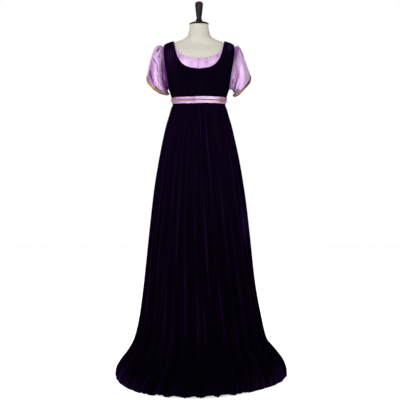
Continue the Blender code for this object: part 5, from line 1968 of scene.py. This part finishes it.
def add_buttons(satin):
    """Satin-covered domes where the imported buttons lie, each facing out from the panel."""
    turn = np.linspace(0, math.tau, BUTTON_SIDES, endpoint=False)
    quads, fans = tube_faces(len(BUTTON_OUTLINE), BUTTON_SIDES)
    faces = [face[::-1] for face in quads.tolist() + fans]
    for number in (1, 2):
        node = f"under_button_{number}"
        low, high = (np.array(corner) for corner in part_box(node))
        centre = (low + high) / 2
        angle = angle_at_x(abs(centre[0]), centre[2])
        outward = form_normal(np.array(math.pi - angle), np.array(centre[2]))
        across = unit(np.cross(outward, [0.0, 0.0, 1.0]))
        over = np.cross(across, outward)
        circle = across * np.cos(turn)[:, None] + over * np.sin(turn)[:, None]
        rings = []
        for ring in BUTTON_OUTLINE:
            middle = centre + outward * ring.height * BUTTON_HALF_DEPTH
            rings.append(middle + circle * ring.radius * BUTTON_RADIUS)
        deep = outward * BUTTON_HALF_DEPTH
        points = np.concatenate([*rings, [centre - deep], [centre + deep]])
        cloth = points * np.array([1.0, 1.0, 0.0]) + np.array([0.0, 0.0, SATIN_LEVEL])
        place(add_mesh(f"satin_button_{number}", points, faces, satin, cloth), "satin", node)


# The studio
CAMERA_LENS = 88.2
CAMERA_PLACE = (-0.0044, 4.361, 0.865)
CAMERA_DIP = 1.2
SENSOR_WIDTH = 36.0
FLOOR_HALF = 9.0
FLOOR_Z = -0.0004

# Square lamps, each aimed at a height on the form's axis
Light = namedtuple("Light", "spot size power aim_z")
LIGHTS = {
    "key": Light((1.8, 3.8, 2.0), 2.0, 86.0, 1.1),
    "fill": Light((-2.1, 3.6, 1.8), 2.0, 31.0, 1.1),
    "front": Light((1.2, -3.6, 2.6), 2.4, 50.0, 1.0),
    "overhead": Light((0.0, 0.3, 4.2), 3.4, 26.0, 0.0),
}


def linked(obj, spot, turn):
    """The object, set in its place in the scene."""
    obj.location = spot
    obj.rotation_euler = turn
    bpy.context.scene.collection.objects.link(obj)
    return obj


def add_camera():
    camera = bpy.data.cameras.new("camera")
    camera.lens = CAMERA_LENS
    camera.sensor_width = SENSOR_WIDTH
    seat = bpy.data.objects.new("camera", camera)
    turn = (math.radians(90 - CAMERA_DIP), 0.0, math.pi)
    bpy.context.scene.camera = linked(seat, CAMERA_PLACE, turn)


def add_floor():
    made, tree = new_finish("pale_floor")
    speckle = even_noise(tree, 60.0, 3.0, 0.5)
    dressed(
        made,
        Base_Color=colours(tree, speckle, (0.3, (0.90, 0.90, 0.90)), (0.7, (0.93, 0.93, 0.93))),
        Roughness=0.9,
        Specular_IOR_Level=0.1,
        Emission_Color=(1.0, 1.0, 1.0, 1.0),
        Emission_Strength=0.62,
    )
    corners = [(x * FLOOR_HALF, y * FLOOR_HALF, FLOOR_Z) for x, y in ((-1, -1), (1, -1), (1, 1), (-1, 1))]
    add_mesh("floor", corners, [[0, 1, 2, 3]], made)


def add_lights():
    for name, light in LIGHTS.items():
        lamp = bpy.data.lights.new(name, "AREA")
        lamp.shape = "SQUARE"
        lamp.size = light.size
        lamp.energy = light.power
        away = np.array(light.spot) - np.array([0.0, 0.0, light.aim_z])
        flat = math.hypot(away[0], away[1])
        turn = (math.atan2(flat, away[2]), 0.0, math.atan2(away[1], away[0]) + math.pi / 2)
        linked(bpy.data.objects.new(name, lamp), light.spot, turn)


def add_backdrop():
    """White where the camera sees it, and a dimmer glow, brighter from above, that lights the dress."""
    world = bpy.data.worlds.new("studio")
    world.use_nodes = True
    tree = world.node_tree
    tree.nodes.clear()
    seen = add_node(tree, "ShaderNodeBackground", Color=(1.0, 1.0, 1.0, 1.0), Strength=1.0)
    way = add_node(tree, "ShaderNodeTexCoord").outputs["Generated"]
    height = add_node(tree, "ShaderNodeSeparateXYZ", Vector=way).outputs["Z"]
    rise = spread_values(tree, height, 0.0, 1.0)
    greys = ((0.0, (0.30, 0.30, 0.30)), (0.5, (0.34, 0.34, 0.345)), (1.0, (0.46, 0.46, 0.47)))
    glow = colours(tree, rise, *greys)
    lit = add_node(tree, "ShaderNodeBackground", Color=glow, Strength=1.0)
    path = add_node(tree, "ShaderNodeLightPath").outputs["Is Camera Ray"]
    both = add_node(tree, "ShaderNodeMixShader", Fac=path)
    fill(tree, both.inputs[1], lit.outputs[0])
    fill(tree, both.inputs[2], seen.outputs[0])
    add_node(tree, "ShaderNodeOutputWorld", Surface=both.outputs[0])
    bpy.context.scene.world = world
    bpy.context.scene.view_settings.view_transform = "Standard"


def main():
    velvet = velvet_finish()
    satin = satin_finish()
    gold, copper, coral, purple = [thread_finish(name, *look) for name, look in THREADS.items()]
    add_form(linen_finish())
    add_neck_top(lacquer_finish())
    iron = iron_finish()
    for node in ("stand_pole", "stand_base"):
        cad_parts[node].material_slots[0].material = iron
    add_skirt(velvet)
    add_velvet_bodice(velvet)
    add_under_bodice(satin)
    add_buttons(satin)
    add_sleeves(satin, gold)
    sash = add_sash(satin)
    add_sash_trim(gold, copper, coral, purple)
    add_camera()
    add_floor()
    add_lights()
    add_backdrop()


main()
